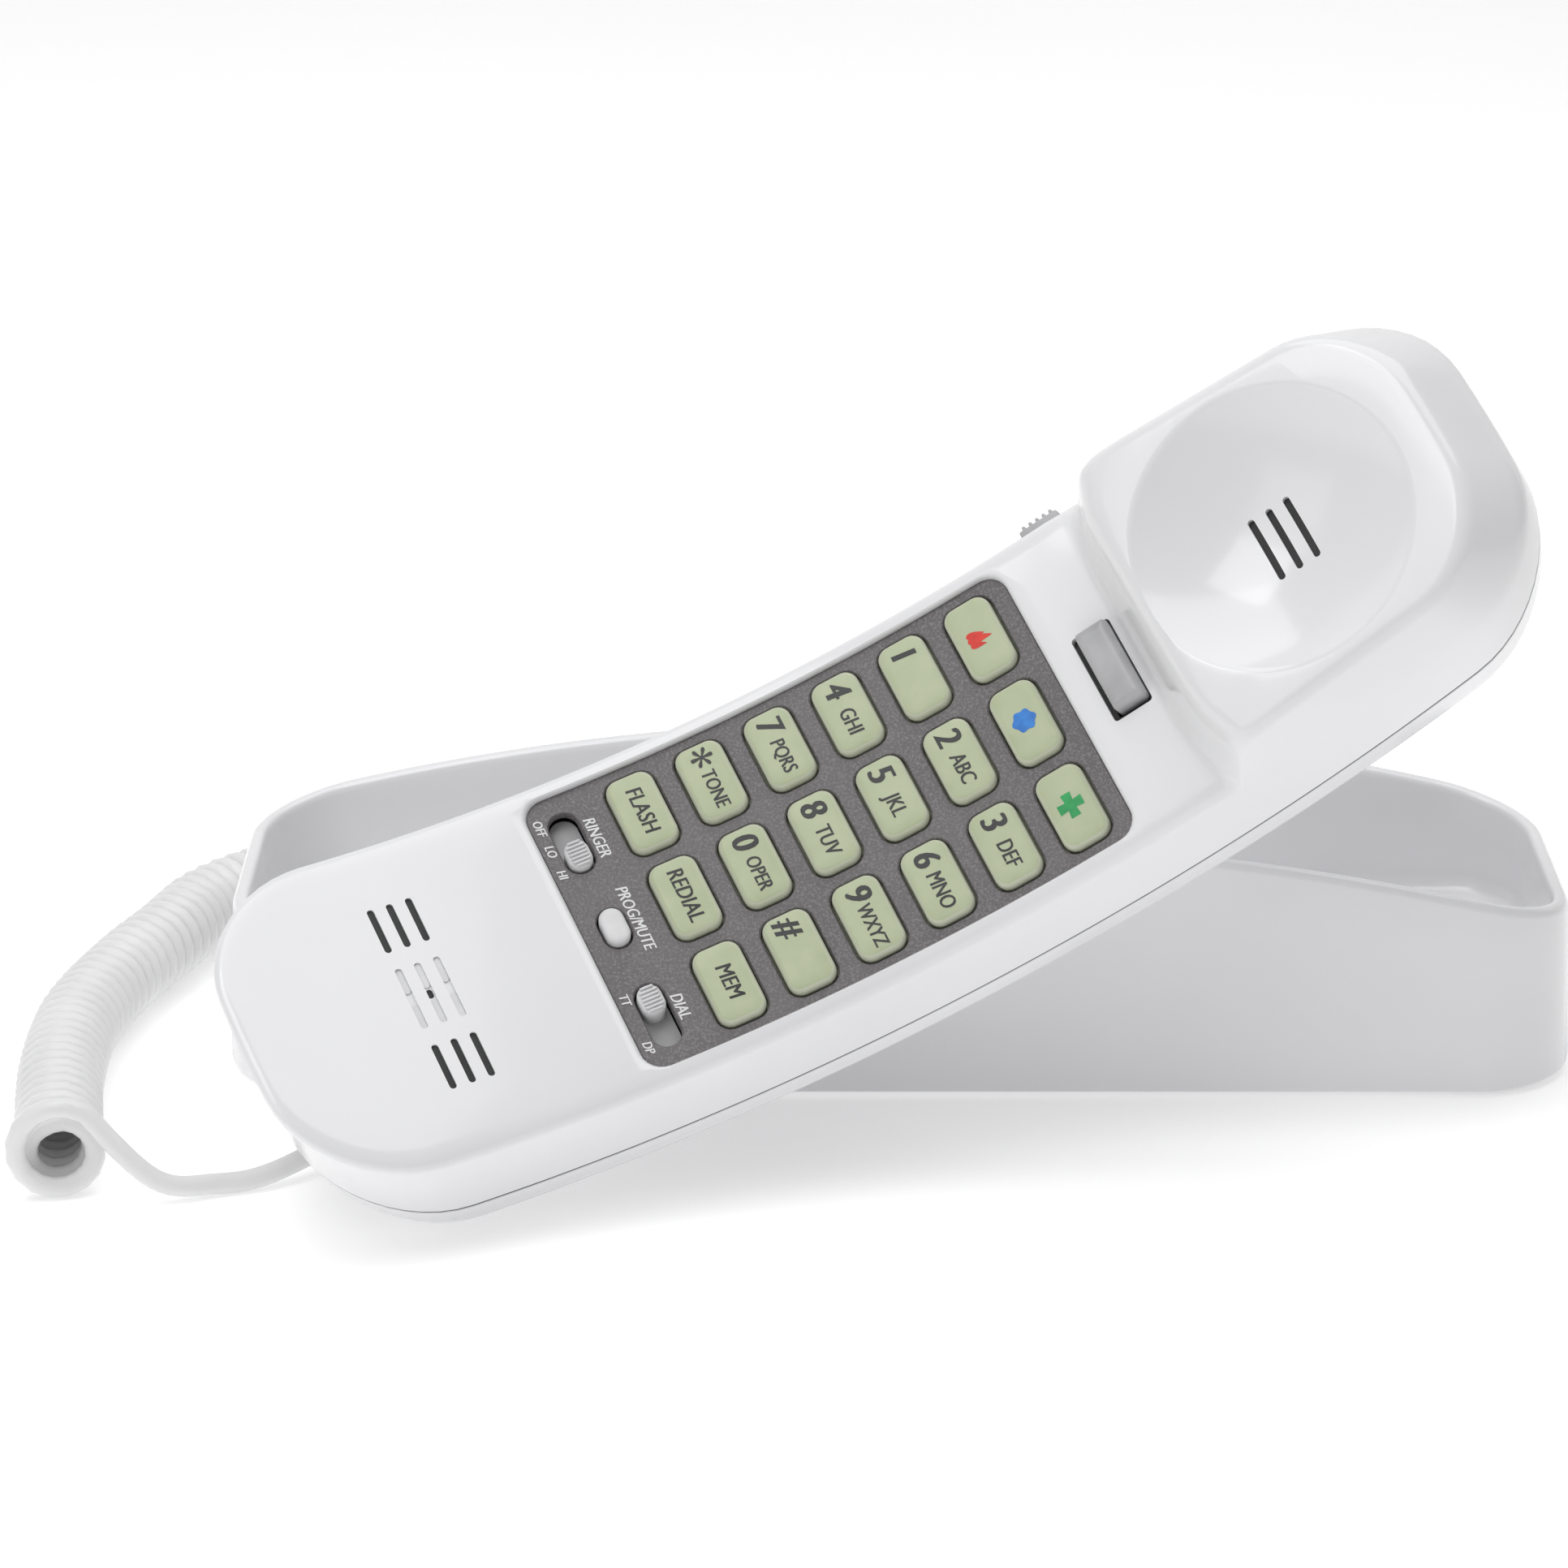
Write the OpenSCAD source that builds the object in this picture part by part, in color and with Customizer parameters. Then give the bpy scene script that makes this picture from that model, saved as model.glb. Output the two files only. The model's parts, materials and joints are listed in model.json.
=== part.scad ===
// Slimline corded telephone: boat-shaped base, arched handset with a keypad
// in its face, and a curly handset cord. Millimetres, +Z up.
// Origin: middle of the base, on the surface that its rubber feet stand on.

/* [Base] */
// Length of the base, outside
base_len = 222; // [220:1:226]
// Width of the base, outside
base_wid = 67; // [66:1:70]
// Height of the rim at mid length, above the surface
rim_top = 44; // [42:1:46]
// Radius of the rim's arch, seen from the side
rim_arch = 417; // [400:1:500]
// Corner radius of the base, seen from above
base_corner = 18; // [16:1:20]
// Wall thickness of the base
base_wall = 2.6; // [2.4:0.1:3]
// Distance between the two wall-mounting keyholes
keyhole_pitch = 101.6; // [101.6]

/* [Handset] */
// Radius of the arch of the handset's face
arch_r = 190; // [190]
// Width of the handset at its parting line
hs_wid = 57.8; // [57:0.1:58]
// Mouthpiece end of the handset, from the middle key
mic_end = 106; // [105:0.5:106]
// Earpiece end of the handset, from the middle key
ear_end = 108; // [107:0.5:108]
// Depth from the face to the parting line
front_depth = 16; // [16:0.5:17]
// Thickness of the handset, face to back
hs_thick = 25; // [25:0.5:26]
// Wall thickness of the handset's shells
hs_wall = 2; // [1.8:0.1:2.2]

/* [Keypad] */
// Distance between key rows, along the handset
row_pitch = 11.9; // [11.8:0.05:12]
// Distance between key columns, across the handset
col_pitch = 16.2; // [16:0.1:16.3]
// Length of a key, across the handset
key_len = 13.4; // [13:0.1:13.6]
// Width of a key, along the handset
key_wid = 8; // [7.8:0.1:8.2]

/* [Cord] */
// Outside diameter of the coiled stretch
coil_od = 14.4; // [14:0.2:14.4]
// Diameter of the cord itself
wire_d = 3.3; // [3.2:0.1:3.4]

/* [Hidden] */
$fn = 96;

// small gap between neighbouring pieces, and extra length of a cutting shape
gap = 0.3;
over = 1;

// how much wider a hole is than the screw in it: where it bites, and where it passes
bite = 0.05;
pass = 0.2;

// base levels
skirt_z = 1;
plate_z = 2.5;
plate_top = 5;
deck_top = 14;
deck_t = 2.5;
hump_top = 24;
hump_x = [-46, 30];
boss_x = 70;
boss_r = 16;
boss_top = 20;
post_x = 40;
post_size = [5, 12];
post_top = 37;
base_screw_xy = [57, 22];
foot_xy = [98, 22];
keyhole_r = 4.2;
keyslot_r = 2.2;
keyhole_run = 7;
keyhole_deep = 5;
weight_at = [-103, -16];
weight_size = [37, 32, 5];
foot_r = 5;
foot_plug_r = 4;
base_screw_len = 6.5;
wire_r = 0.6;
wire_step = 1.6;
wire_at = 12.5;
jack_z = 11;
line_jack_x = -30;
cord_jack_x = 12;
jack_size = [13, 14, 11];
jack_hole_in = 1.8;
line_hole = [9.8, 6.8];
cord_hole = [7.9, 6.8];
socket_deep = 11;
rear_y = base_wid / 2;
straight_x = base_len / 2 - base_corner;
screw_boss_r = 3.2;

// handset placing: turns about X, Y and Z, then the middle key's place
lean = [45.5, -26.5, 9];
key5_at = [-2.5, -57.4, 60.3];

// handset section
hs_half = hs_wid / 2;
face_half = 27.8;
face_round = 3.4;
back_round = 7;
plan_round = 20;
hs_mid = (ear_end - mic_end) / 2;
hs_len = ear_end + mic_end;
sweep_end = 36;
plan_height = 160;
block_inset = 1.2;
// the slanted end of the earpiece block: a point on it, and its slope
end_x = 98;
end_z = 30.7;
end_slope = 41.8;
// heights that are safely below and above the face
low = -30;
high = 40;

// earpiece block: a flat top that leans towards the mouthpiece
block_foot = 44;
block_edge = 46.5;
block_z = 18.2;
block_lean = 13.6;
dish_x = 69.6;
dish_r = 22.8;
dish_depth = 7.5;
dish_ball = (dish_r * dish_r + dish_depth * dish_depth) / (2 * dish_depth);
dish_z = block_z + (dish_x - block_edge) * tan(block_lean);
slot_w = 1.3;
slot_step = 3.2;
ear_slot_len = 11.3;
mic_slot_len = 8;
mic_mid_len = 11;
mic_group = 12.5;
mic_x = -76.5;

// keypad panel
panel_x = [-52.5, 31.3];
panel_half = 25;
panel_corner = 3.5;
panel_drop = 1.2;
panel_t = 1.6;
ledge = 1.5;
ledge_t = 1.6;
key_proud = 0.3;
key_corner = 2.2;
key_flange = 0.6;
control_x = -47.2;
board_z = -10.5;
board_t = 1.6;
board_x = [-57, 35];
board_half = 23.5;
screw_r = 1.1;
screw_head_r = 2.1;
screw_head_h = 1.2;
recess_r = 2.4;
board_boss_r = 2.5;
front_boss_r = 3;
back_boss_r = 4;
boss_foot = [-9.6, -14];
boss_join = [-14.4, -18.2];
boss_roof = [-10, -14.4];
recess_top = [-11.6, -16];
shell_screw_z = [-12.9, -17.3];
shell_screw_len = 11;
board_screw_len = 7;
board_screw_at = [[-54.8, 8], [33.2, 20]];
shell_screw = [[-62, 17], [50, 20]];
hook_x = 39.6;
hook_len = 14.4;
hook_wid = 5.6;
hook_proud = 2.4;
hook_foot = -6;
flange_z = -4.8;
flange_top = -3.4;
cap_foot = -4.6;
vol_x = 40;
knob_size = [4, 5.2];
slot_travel = 5;
prog_size = [4, 6.4];
receiver_z = -18.6;
receiver_r = 18;
receiver_h = 7.9;
seal_r = [14.5, 17.5];
seal_z = [-10.6, -7];
mic_r = 4.8;
ringer_x = -14;

// cord socket of the handset: its place along the arch, its depth, and the plug's length outside
jack_a = -25;
jack_in = 11;
plug_out = 10;

// free cord: the points of its route, laid on the surface
coil_path = [[-132, -76], [-134, -60], [-136, -40], [-136, -18], [-132, 3], [-126, 22],
    [-120, 40], [-108, 54], [-92, 62], [-70, 65], [-45, 66], [-20, 66], [0, 66], [20, 66]];
coil_z = coil_od / 2 + 0.1;

// ---- plain helpers ----
function turn_x(p, a) = [p[0], p[1] * cos(a) - p[2] * sin(a), p[1] * sin(a) + p[2] * cos(a)];
function turn_y(p, a) = [p[0] * cos(a) + p[2] * sin(a), p[1], -p[0] * sin(a) + p[2] * cos(a)];
function turn_z(p, a) = [p[0] * cos(a) - p[1] * sin(a), p[0] * sin(a) + p[1] * cos(a), p[2]];
function from_handset(p) = key5_at + turn_z(turn_y(turn_x(p, lean[0]), lean[1]), lean[2]);
function fillet(c, r, a0, a1, n = 4) =
    [for (i = [0:n]) let (a = a0 + (a1 - a0) * i / n) c + r * [cos(a), sin(a)]];
function mirrored(pts) = concat(pts, [for (i = [len(pts) - 1:-1:0]) [pts[i][0], -pts[i][1]]]);
function angle_at(x) = asin(x / arch_r);

// a rounded rectangle, centred
module round_rect(a, b, r) {
    square([a - 2 * r, b], center = true);
    square([a, b - 2 * r], center = true);
    for (sx = [-1, 1], sy = [-1, 1])
        translate([sx * (a / 2 - r), sy * (b / 2 - r)]) circle(r);
}

// a rounded block standing on z0
module round_block(a, b, r, z0, z1) {
    translate([0, 0, z0]) linear_extrude(z1 - z0) round_rect(a, b, r);
}

// places children on the arched face, at angle a from the middle key
module on_arch(a) {
    translate([0, 0, arch_r]) rotate([0, -a, 0]) translate([0, 0, -arch_r]) children();
}

// sweeps a section (distance from the arch's axis, across) along the arch
module along_arch(a0 = -sweep_end, a1 = sweep_end) {
    translate([0, 0, arch_r]) rotate([90, 0, 0])
        rotate_extrude(angle = a1 - a0, start = a0 - 90) children();
}

// everything between two depths below the face, as a band across the handset
module band(d0, d1, half) {
    along_arch() translate([arch_r + d0, -half]) square([d1 - d0, 2 * half]);
}

// the handset's outline seen from the face
module plan(inset) {
    translate([hs_mid, 0, -plan_height / 2 + 20]) linear_extrude(plan_height)
        round_rect(hs_len - 2 * inset, hs_wid + 0.2 - 2 * inset, plan_round - inset);
}

module placed() {
    translate(key5_at) rotate(lean) children();
}

// ---- base ----
module base_outline(inset, z0, z1) {
    round_block(base_len - 2 * inset, base_wid - 2 * inset, base_corner - inset, z0, z1);
}

module jack_hole(x) {
    translate([x - jack_size[0] / 2 - gap, rear_y - base_wall - jack_hole_in,
            jack_z - jack_size[2] / 2 - gap])
        cube([jack_size[0] + 2 * gap, base_wall + 3, jack_size[2] + 2 * gap]);
}

// the whole tray's solid walls and rim, without its deck
module base_tube() difference() {
    intersection() {
        base_outline(0, skirt_z, rim_top + 2);
        translate([0, base_wid, rim_top - rim_arch]) rotate([90, 0, 0])
            cylinder(r = rim_arch, h = 2 * base_wid, $fn = 360);
    }
    base_outline(base_wall, 0, rim_top + 3);
}

// the housing is one moulding; it is kept in five simple nodes so that its trough stays open
module along_base(x0, x1, y0, y1) {
    translate([x0, y0, 0]) cube([x1 - x0, y1 - y0, rim_top + 2]);
}

module base_wall_near() color("white") intersection() {
    base_tube();
    along_base(-straight_x, straight_x, -base_wid, 0);
}

module base_wall_far() color("white") difference() {
    intersection() {
        base_tube();
        along_base(-straight_x, straight_x, 0, base_wid);
    }
    jack_hole(line_jack_x);
    jack_hole(cord_jack_x);
}

module base_end_mouth() color("white") intersection() {
    base_tube();
    along_base(-base_len, -straight_x, -base_wid, base_wid);
}

module base_end_ear() color("white") intersection() {
    base_tube();
    along_base(straight_x, base_len, -base_wid, base_wid);
}

module base_deck() color("white") difference() {
    union() {
        base_outline(base_wall, deck_top - deck_t, deck_top);
        translate([hump_x[0], -base_wid / 2 + base_wall, deck_top - deck_t])
            cube([hump_x[1] - hump_x[0], base_wid - 2 * base_wall, hump_top - deck_top + deck_t]);
        translate([boss_x, 0, deck_top - over]) cylinder(r = boss_r, h = boss_top - deck_top + over);
        translate([post_x - post_size[0] / 2, -post_size[1] / 2, deck_top - over])
            cube([post_size[0], post_size[1], post_top - deck_top + over]);
        for (sx = [-1, 1], sy = [-1, 1])
            translate([sx * base_screw_xy[0], sy * base_screw_xy[1], plate_top])
                cylinder(r = screw_boss_r, h = deck_top - deck_t - plate_top + 0.5);
    }
    translate([hump_x[0] + deck_t, -base_wid / 2, 0])
        cube([hump_x[1] - hump_x[0] - 2 * deck_t, base_wid, hump_top - deck_t]);
    for (sx = [-1, 1], sy = [-1, 1])
        translate([sx * base_screw_xy[0], sy * base_screw_xy[1], plate_top - over])
            cylinder(r = screw_r + bite, h = base_screw_len);
    jack_hole(line_jack_x);
    jack_hole(cord_jack_x);
}

// an entry hole for a wall stud's head, and a slot for its neck towards the earpiece end
module keyhole() {
    translate([0, 0, plate_z - over]) cylinder(r = keyhole_r, h = keyhole_deep);
    translate([keyhole_run, 0, plate_z - over]) cylinder(r = keyslot_r, h = keyhole_deep);
    translate([0, -keyslot_r, plate_z - over]) cube([keyhole_run, 2 * keyslot_r, keyhole_deep]);
}

module base_bottom() color("whitesmoke") difference() {
    base_outline(base_wall + 0.2, plate_z, plate_top);
    for (s = [-1, 1]) translate([s * keyhole_pitch / 2 - keyhole_run, 0, 0]) keyhole();
    for (sx = [-1, 1], sy = [-1, 1]) {
        translate([sx * base_screw_xy[0], sy * base_screw_xy[1], 0]) {
            cylinder(r = screw_r + pass, h = plate_top + over);
            cylinder(r = recess_r, h = plate_z + screw_head_h + 0.1);
        }
        translate([sx * foot_xy[0], sy * foot_xy[1], 0])
            cylinder(r = foot_plug_r + 0.1, h = plate_z + over);
    }
}

module base_weight() color("dimgray")
    translate([weight_at[0], weight_at[1], plate_top + 0.1]) cube(weight_size);

module base_feet() color("gray")
    for (sx = [-1, 1], sy = [-1, 1])
        translate([sx * foot_xy[0], sy * foot_xy[1], 0]) {
            cylinder(r = foot_r, h = plate_z - 0.1);
            cylinder(r = foot_plug_r, h = plate_z + over - 0.1);
        }

// a self-tapping screw, its head down at z = 0
module screw(len) {
    cylinder(r = screw_head_r, h = screw_head_h);
    translate([0, 0, screw_head_h - 0.1]) cylinder(r = screw_r, h = len);
}

module base_screws() color("silver")
    for (sx = [-1, 1], sy = [-1, 1])
        translate([sx * base_screw_xy[0], sy * base_screw_xy[1], plate_z + 0.1])
            screw(base_screw_len);

// a modular jack whose socket faces +Y; its front is flush with the base's rear wall
module modular_jack(hole) difference() {
    translate([-jack_size[0] / 2, -jack_size[1], -jack_size[2] / 2]) cube(jack_size);
    translate([-hole[0] / 2, over - socket_deep, -hole[1] / 2]) cube([hole[0], socket_deep, hole[1]]);
}

module line_jack() color("ivory")
    translate([line_jack_x, rear_y - 0.2, jack_z]) modular_jack(line_hole);

module base_handset_jack() color("ivory")
    translate([cord_jack_x, rear_y - 0.2, jack_z]) modular_jack(cord_hole);

module base_wires() color("red")
    for (i = [0:3])
        translate([line_jack_x + jack_size[0] / 2, rear_y - wire_at + i * wire_step, jack_z + 1])
            rotate([0, 90, 0])
                cylinder(r = wire_r, h = cord_jack_x - line_jack_x - jack_size[0], $fn = 24);

// ---- handset shells ----
module front_section(inset) {
    r0 = arch_r + inset;
    rr = face_round - inset * 0.6;
    h0 = face_half - inset;
    polygon(mirrored(concat([[arch_r + front_depth + inset, hs_half - inset]],
        fillet([r0 + rr, h0 - rr], rr, 90, 180))));
}

module back_section(inset) {
    r1 = arch_r + hs_thick - inset;
    rr = back_round - inset;
    h0 = hs_half - inset;
    polygon(mirrored(concat([[arch_r + front_depth + gap - inset, h0]],
        fillet([r1 - rr, h0 - rr], rr, 90, 0))));
}

// the block's side outline, drawn in along and up
module block_side(inset) {
    far = hs_len;
    rotate([90, 0, 0]) translate([0, 0, -hs_wid]) linear_extrude(2 * hs_wid)
        polygon([[block_foot + inset, low],
            [block_edge + inset, block_z - inset * 1.1],
            [far, block_z - inset * 1.1 + (far - block_edge - inset) * tan(block_lean)],
            [far, low]]);
}

// what lies outside the slanted end, moved inwards by the inset
module end_trim(inset) {
    translate([end_x, -hs_wid, end_z]) rotate([0, end_slope, 0])
        translate([-hs_wid / 2, 0, -inset]) cube([hs_wid, 2 * hs_wid, high]);
}

module dish_ball_at(extra) {
    translate([dish_x, 0, dish_z]) rotate([0, -block_lean, 0])
        translate([0, 0, dish_ball - dish_depth]) sphere(r = dish_ball + extra, $fn = 120);
}

module inside_arch(r) {
    translate([0, hs_wid, arch_r]) rotate([90, 0, 0]) cylinder(r = r, h = 2 * hs_wid, $fn = 180);
}

module shell_boss(p, r, z0, z1) {
    for (s = [-1, 1]) translate([p[0], s * p[1], z0]) cylinder(r = r, h = z1 - z0);
}

module panel_window(inset, d0, d1) {
    intersection() {
        band(d0, d1, panel_half - inset);
        translate([(panel_x[0] + panel_x[1]) / 2, 0, 0])
            round_block(panel_x[1] - panel_x[0] - 2 * inset, 2 * (panel_half - inset),
                panel_corner - inset, low, high);
    }
}

module slot_rows(len, width, n, depth) {
    for (i = [0:n - 1])
        translate([(i - (n - 1) / 2) * slot_step - width / 2, -len / 2, -depth])
            cube([width, len, 2 * depth]);
}

// the solid form of the front shell; reach is how deep the earpiece block goes into it
module front_form(inset, reach) difference() {
    union() {
        intersection() {
            along_arch() front_section(inset);
            plan(inset);
        }
        intersection() {
            block_side(inset);
            plan(inset + block_inset);
            inside_arch(reach);
        }
    }
    end_trim(inset);
}

module front_shell() color("white") placed() difference() {
    union() {
        difference() {
            front_form(0, arch_r + 1);
            front_form(hs_wall, arch_r + 5);
        }
        intersection() {
            dish_ball_at(hs_wall);
            block_side(0.5);
            plan(2);
        }
        difference() {
            intersection() {
                band(0.5, panel_drop + panel_t + ledge_t, face_half - 1.5);
                translate([-11, 0, 0]) round_block(92, 2 * face_half, 3, low, high);
            }
            panel_window(ledge, -over, 8);
        }
        shell_boss(board_screw_at[0], board_boss_r, board_z, 4);
        shell_boss(board_screw_at[1], board_boss_r, board_z, 0);
        shell_boss(shell_screw[0], front_boss_r, boss_foot[0], 9.5);
        shell_boss(shell_screw[1], front_boss_r, boss_foot[1], 17);
    }
    dish_ball_at(0);
    panel_window(0, -over, panel_drop + panel_t);
    panel_window(ledge, -over, 8);
    on_arch(angle_at(hook_x)) translate([0, 0, -5])
        round_block(hook_wid + 2 * gap, hook_len + 2 * gap, 0.6, 0, 12);
    translate([dish_x, 0, dish_z]) rotate([0, -block_lean, 0])
        slot_rows(ear_slot_len, slot_w, 3, 12);
    for (s = [-1, 1]) on_arch(angle_at(mic_x)) translate([0, s * mic_group, 0])
        slot_rows(mic_slot_len, slot_w, 3, 4);
    on_arch(angle_at(mic_x)) {
        slot_rows(mic_mid_len, slot_w, 3, 0.6);
        translate([0, 0, -5]) cylinder(r = 0.6, h = 6, $fn = 24);
    }
    on_arch(angle_at(vol_x)) translate([-6.5, hs_half - 4, -6.6]) cube([13, 6, 4.2]);
    for (p = board_screw_at) shell_boss(p, screw_r + bite, board_z - over, -3.5);
    shell_boss(shell_screw[0], screw_r + bite, boss_foot[0] - over, 2);
    shell_boss(shell_screw[1], screw_r + bite, boss_foot[1] - over, -4);
}

// the cord socket leaves the back near the mouthpiece end, square to the back
module at_handset_jack() {
    on_arch(jack_a) translate([0, 0, -hs_thick]) children();
}

module back_shell() color("white") placed() difference() {
    union() {
        difference() {
            intersection() {
                along_arch() back_section(0);
                plan(0);
            }
            intersection() {
                along_arch() back_section(hs_wall);
                plan(hs_wall);
            }
        }
        shell_boss(shell_screw[0], back_boss_r, boss_join[0], boss_roof[0]);
        shell_boss(shell_screw[1], back_boss_r, boss_join[1], boss_roof[1]);
    }
    for (i = [0, 1]) {
        shell_boss(shell_screw[i], screw_r + pass, low, 0);
        shell_boss(shell_screw[i], recess_r, low, recess_top[i]);
    }
    at_handset_jack() translate([-5, -5.5, -over]) cube([10, 11, 6]);
}

// ---- keypad ----
module keypad_panel() color("#7a7577") placed() difference() {
    panel_window(0.1, panel_drop, panel_drop + panel_t - 0.05);
    for (row = [-3:2], col = [-1:1])
        on_arch(row * row_pitch / arch_r * 180 / PI) translate([0, col * col_pitch, -6])
            linear_extrude(8) round_rect(key_wid + 2 * gap, key_len + 2 * gap, key_corner + gap);
    on_arch(angle_at(control_x)) {
        for (s = [-1, 1]) translate([0, s * col_pitch, -6])
            linear_extrude(8) round_rect(knob_size[0] + 0.8, knob_size[1] + slot_travel + 0.8, 2.3);
        translate([0, 0, -6]) linear_extrude(8) round_rect(prog_size[0] + 2 * gap, prog_size[1] + 2 * gap, 2.2);
    }
}

// a key: cap above, flange below the panel; row counts towards the earpiece
module key(row, col) color("#c9d1ae") placed()
    on_arch(row * row_pitch / arch_r * 180 / PI) translate([0, -col * col_pitch, 0]) {
        linear_extrude(key_proud) round_rect(key_wid - 1, key_len - 1, key_corner - 0.5);
        round_block(key_wid, key_len, key_corner, cap_foot, 0);
        round_block(key_wid + 2 * key_flange, key_len + 2 * key_flange, key_corner, flange_z, flange_top);
    }

module key_mat() color("lightgray") placed() intersection() {
    band(6.5, 30, 22.5);
    translate([-48 + 6.5, -22.5, board_z]) cube([72, 45, 30]);
    inside_arch(arch_r + 30);
}

module main_board() color("darkgreen") placed() difference() {
    translate([board_x[0], -board_half, board_z - board_t])
        cube([board_x[1] - board_x[0], 2 * board_half, board_t - 0.02]);
    for (p = board_screw_at) shell_boss(p, screw_r + pass, low, 0);
}

module in_dish() {
    translate([dish_x, 0, dish_z]) rotate([0, -block_lean, 0]) children();
}

module receiver() color("dimgray") placed() in_dish()
    translate([0, 0, receiver_z]) {
        cylinder(r = receiver_r, h = receiver_h);
        translate([0, 0, -2]) cylinder(r = 11, h = 2.1);
    }

module receiver_seal() color("black") placed() in_dish() difference() {
    translate([0, 0, seal_z[0]]) cylinder(r = seal_r[1], h = seal_z[1] - seal_z[0]);
    translate([0, 0, seal_z[0] - over]) cylinder(r = seal_r[0], h = seal_z[1] - seal_z[0] + 2 * over);
}

module microphone() color("silver") placed() on_arch(angle_at(mic_x))
    translate([0, 0, -8.6]) cylinder(r = mic_r, h = 4.5);

module mic_boot() color("black") placed() on_arch(angle_at(mic_x)) difference() {
    translate([0, 0, -9]) cylinder(r = 6.5, h = 6.7);
    translate([0, 0, -8.7]) cylinder(r = mic_r + 0.1, h = 4.7);
    translate([0, 0, -5]) cylinder(r = 1, h = 4);
}

module ringer() color("goldenrod") placed()
    translate([ringer_x, 0, board_z - board_t - 5.4]) {
        cylinder(r = 13, h = 3.6);
        translate([0, 0, 3.5]) cylinder(r = 9, h = 1.8);
    }

// ---- controls ----
module hook_button() color("#aaaaaa") placed() on_arch(angle_at(hook_x)) {
    round_block(hook_wid, hook_len, 0.5, hook_foot, hook_proud);
    round_block(hook_wid + 2.4, hook_len + 3, 0.5, hook_foot, flange_top);
}

module hook_spring() color("silver") placed() on_arch(angle_at(hook_x)) difference() {
    translate([0, 0, -12]) cylinder(r = 2.6, h = 3.2);
    translate([0, 0, -13]) cylinder(r = 2, h = 6);
}

module hook_switch() color("black") placed() on_arch(angle_at(hook_x))
    translate([-2.8, -7, -17.5]) cube([6.6, 14, 5.4]);

// a ribbed slide knob in a slot; across is its place along the slot
module slide_knob(side, across) on_arch(angle_at(control_x)) translate([0, side * col_pitch + across, 0]) {
    round_block(knob_size[0], knob_size[1], 1.8, -4, 0);
    for (i = [-1:1]) translate([-1.4, i * 1.3 - 0.3, -0.1]) cube([2.8, 0.6, 0.4]);
    translate([-2.6, -3, -4.6]) cube([5.2, 6, 1.4]);
}

module switch_body(side) on_arch(angle_at(control_x))
    translate([-2.4, side * col_pitch - 5.2, -11.5]) cube([4.8, 10.4, 6.2]);

module ringer_knob() color("lightgray") placed() slide_knob(1, -slot_travel / 2);
module ringer_switch() color("gray") placed() switch_body(1);
module dial_knob() color("lightgray") placed() slide_knob(-1, slot_travel / 2);
module dial_switch() color("gray") placed() switch_body(-1);

module prog_button() color("lightgray") placed() on_arch(angle_at(control_x)) {
    round_block(prog_size[0], prog_size[1], 1.9, cap_foot, 0.1);
    round_block(prog_size[0] + 1.4, prog_size[1] + 1.6, 1.9, flange_z, flange_top);
}

module volume_knob() color("gray") placed() on_arch(angle_at(vol_x)) {
    translate([-3.5, hs_half - 3.6, -6.1]) cube([7, 4.2, 3.2]);
    for (i = [-2:2]) translate([i * 1.3 - 0.3, hs_half + 0.5, -5.9]) cube([0.6, 0.7, 2.8]);
}

module volume_pot() color("black") placed() on_arch(angle_at(vol_x))
    translate([-4.2, hs_half - 9.4, -7.6]) cube([8.4, 5, 4.8]);

// ---- fasteners and socket of the handset ----
module handset_jack() color("ivory") placed() at_handset_jack() difference() {
    translate([-4.8, -5.3, 0.6]) cube([9.6, 10.6, jack_in]);
    translate([-3.4, -3.9, -over]) cube([6.8, 7.8, 10]);
}

module handset_screws() color("silver") placed()
    for (i = [0, 1], s = [-1, 1])
        translate([shell_screw[i][0], s * shell_screw[i][1], shell_screw_z[i]]) screw(shell_screw_len);

module board_screws() color("silver") placed()
    for (p = board_screw_at, s = [-1, 1])
        translate([p[0], s * p[1], board_z - board_t - screw_head_h - 0.1]) screw(board_screw_len);

// ---- cord ----
// a point of a smooth curve through the points p, s = 0 to len(p) - 1
function smooth_at(p, s) =
    let (n = len(p) - 1, i = min(floor(s), n - 1), t = s - i,
        a = p[max(i - 1, 0)], b = p[i], c = p[i + 1], d = p[min(i + 2, n)])
    0.5 * (2 * b + (c - a) * t + (2 * a - 5 * b + 4 * c - d) * t * t + (3 * b - a - 3 * c + d) * t * t * t);
function unit(v) = v / norm(v);

// a tube swept along smooth points, closed at both ends
module tube(p, r, sides, per_point) {
    n = (len(p) - 1) * per_point;
    pts = [for (i = [0:n]) smooth_at(p, i / per_point)];
    rings = [for (i = [0:n])
        let (t = unit(pts[min(i + 1, n)] - pts[max(i - 1, 0)]),
            side = unit(cross(t, abs(t[2]) > 0.95 ? [0, 1, 0] : [0, 0, 1])),
            up = cross(side, t))
        for (k = [0:sides - 1]) let (a = 360 * (k + 0.5) / sides)
            pts[i] + r * (cos(a) * side + sin(a) * up)];
    walls = [for (i = [0:n - 1], k = [0:sides - 1])
        let (a = i * sides + k, b = i * sides + (k + 1) % sides)
        each [[a, b, a + sides], [b, b + sides, a + sides]]];
    polyhedron(rings, concat(walls,
        [[for (k = [sides - 1:-1:0]) k]], [[for (k = [0:sides - 1]) n * sides + k]]));
}

module coil() color("white")
    tube([for (q = coil_path) [q[0], q[1], coil_z]], coil_od / 2, 12, 3);

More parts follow.
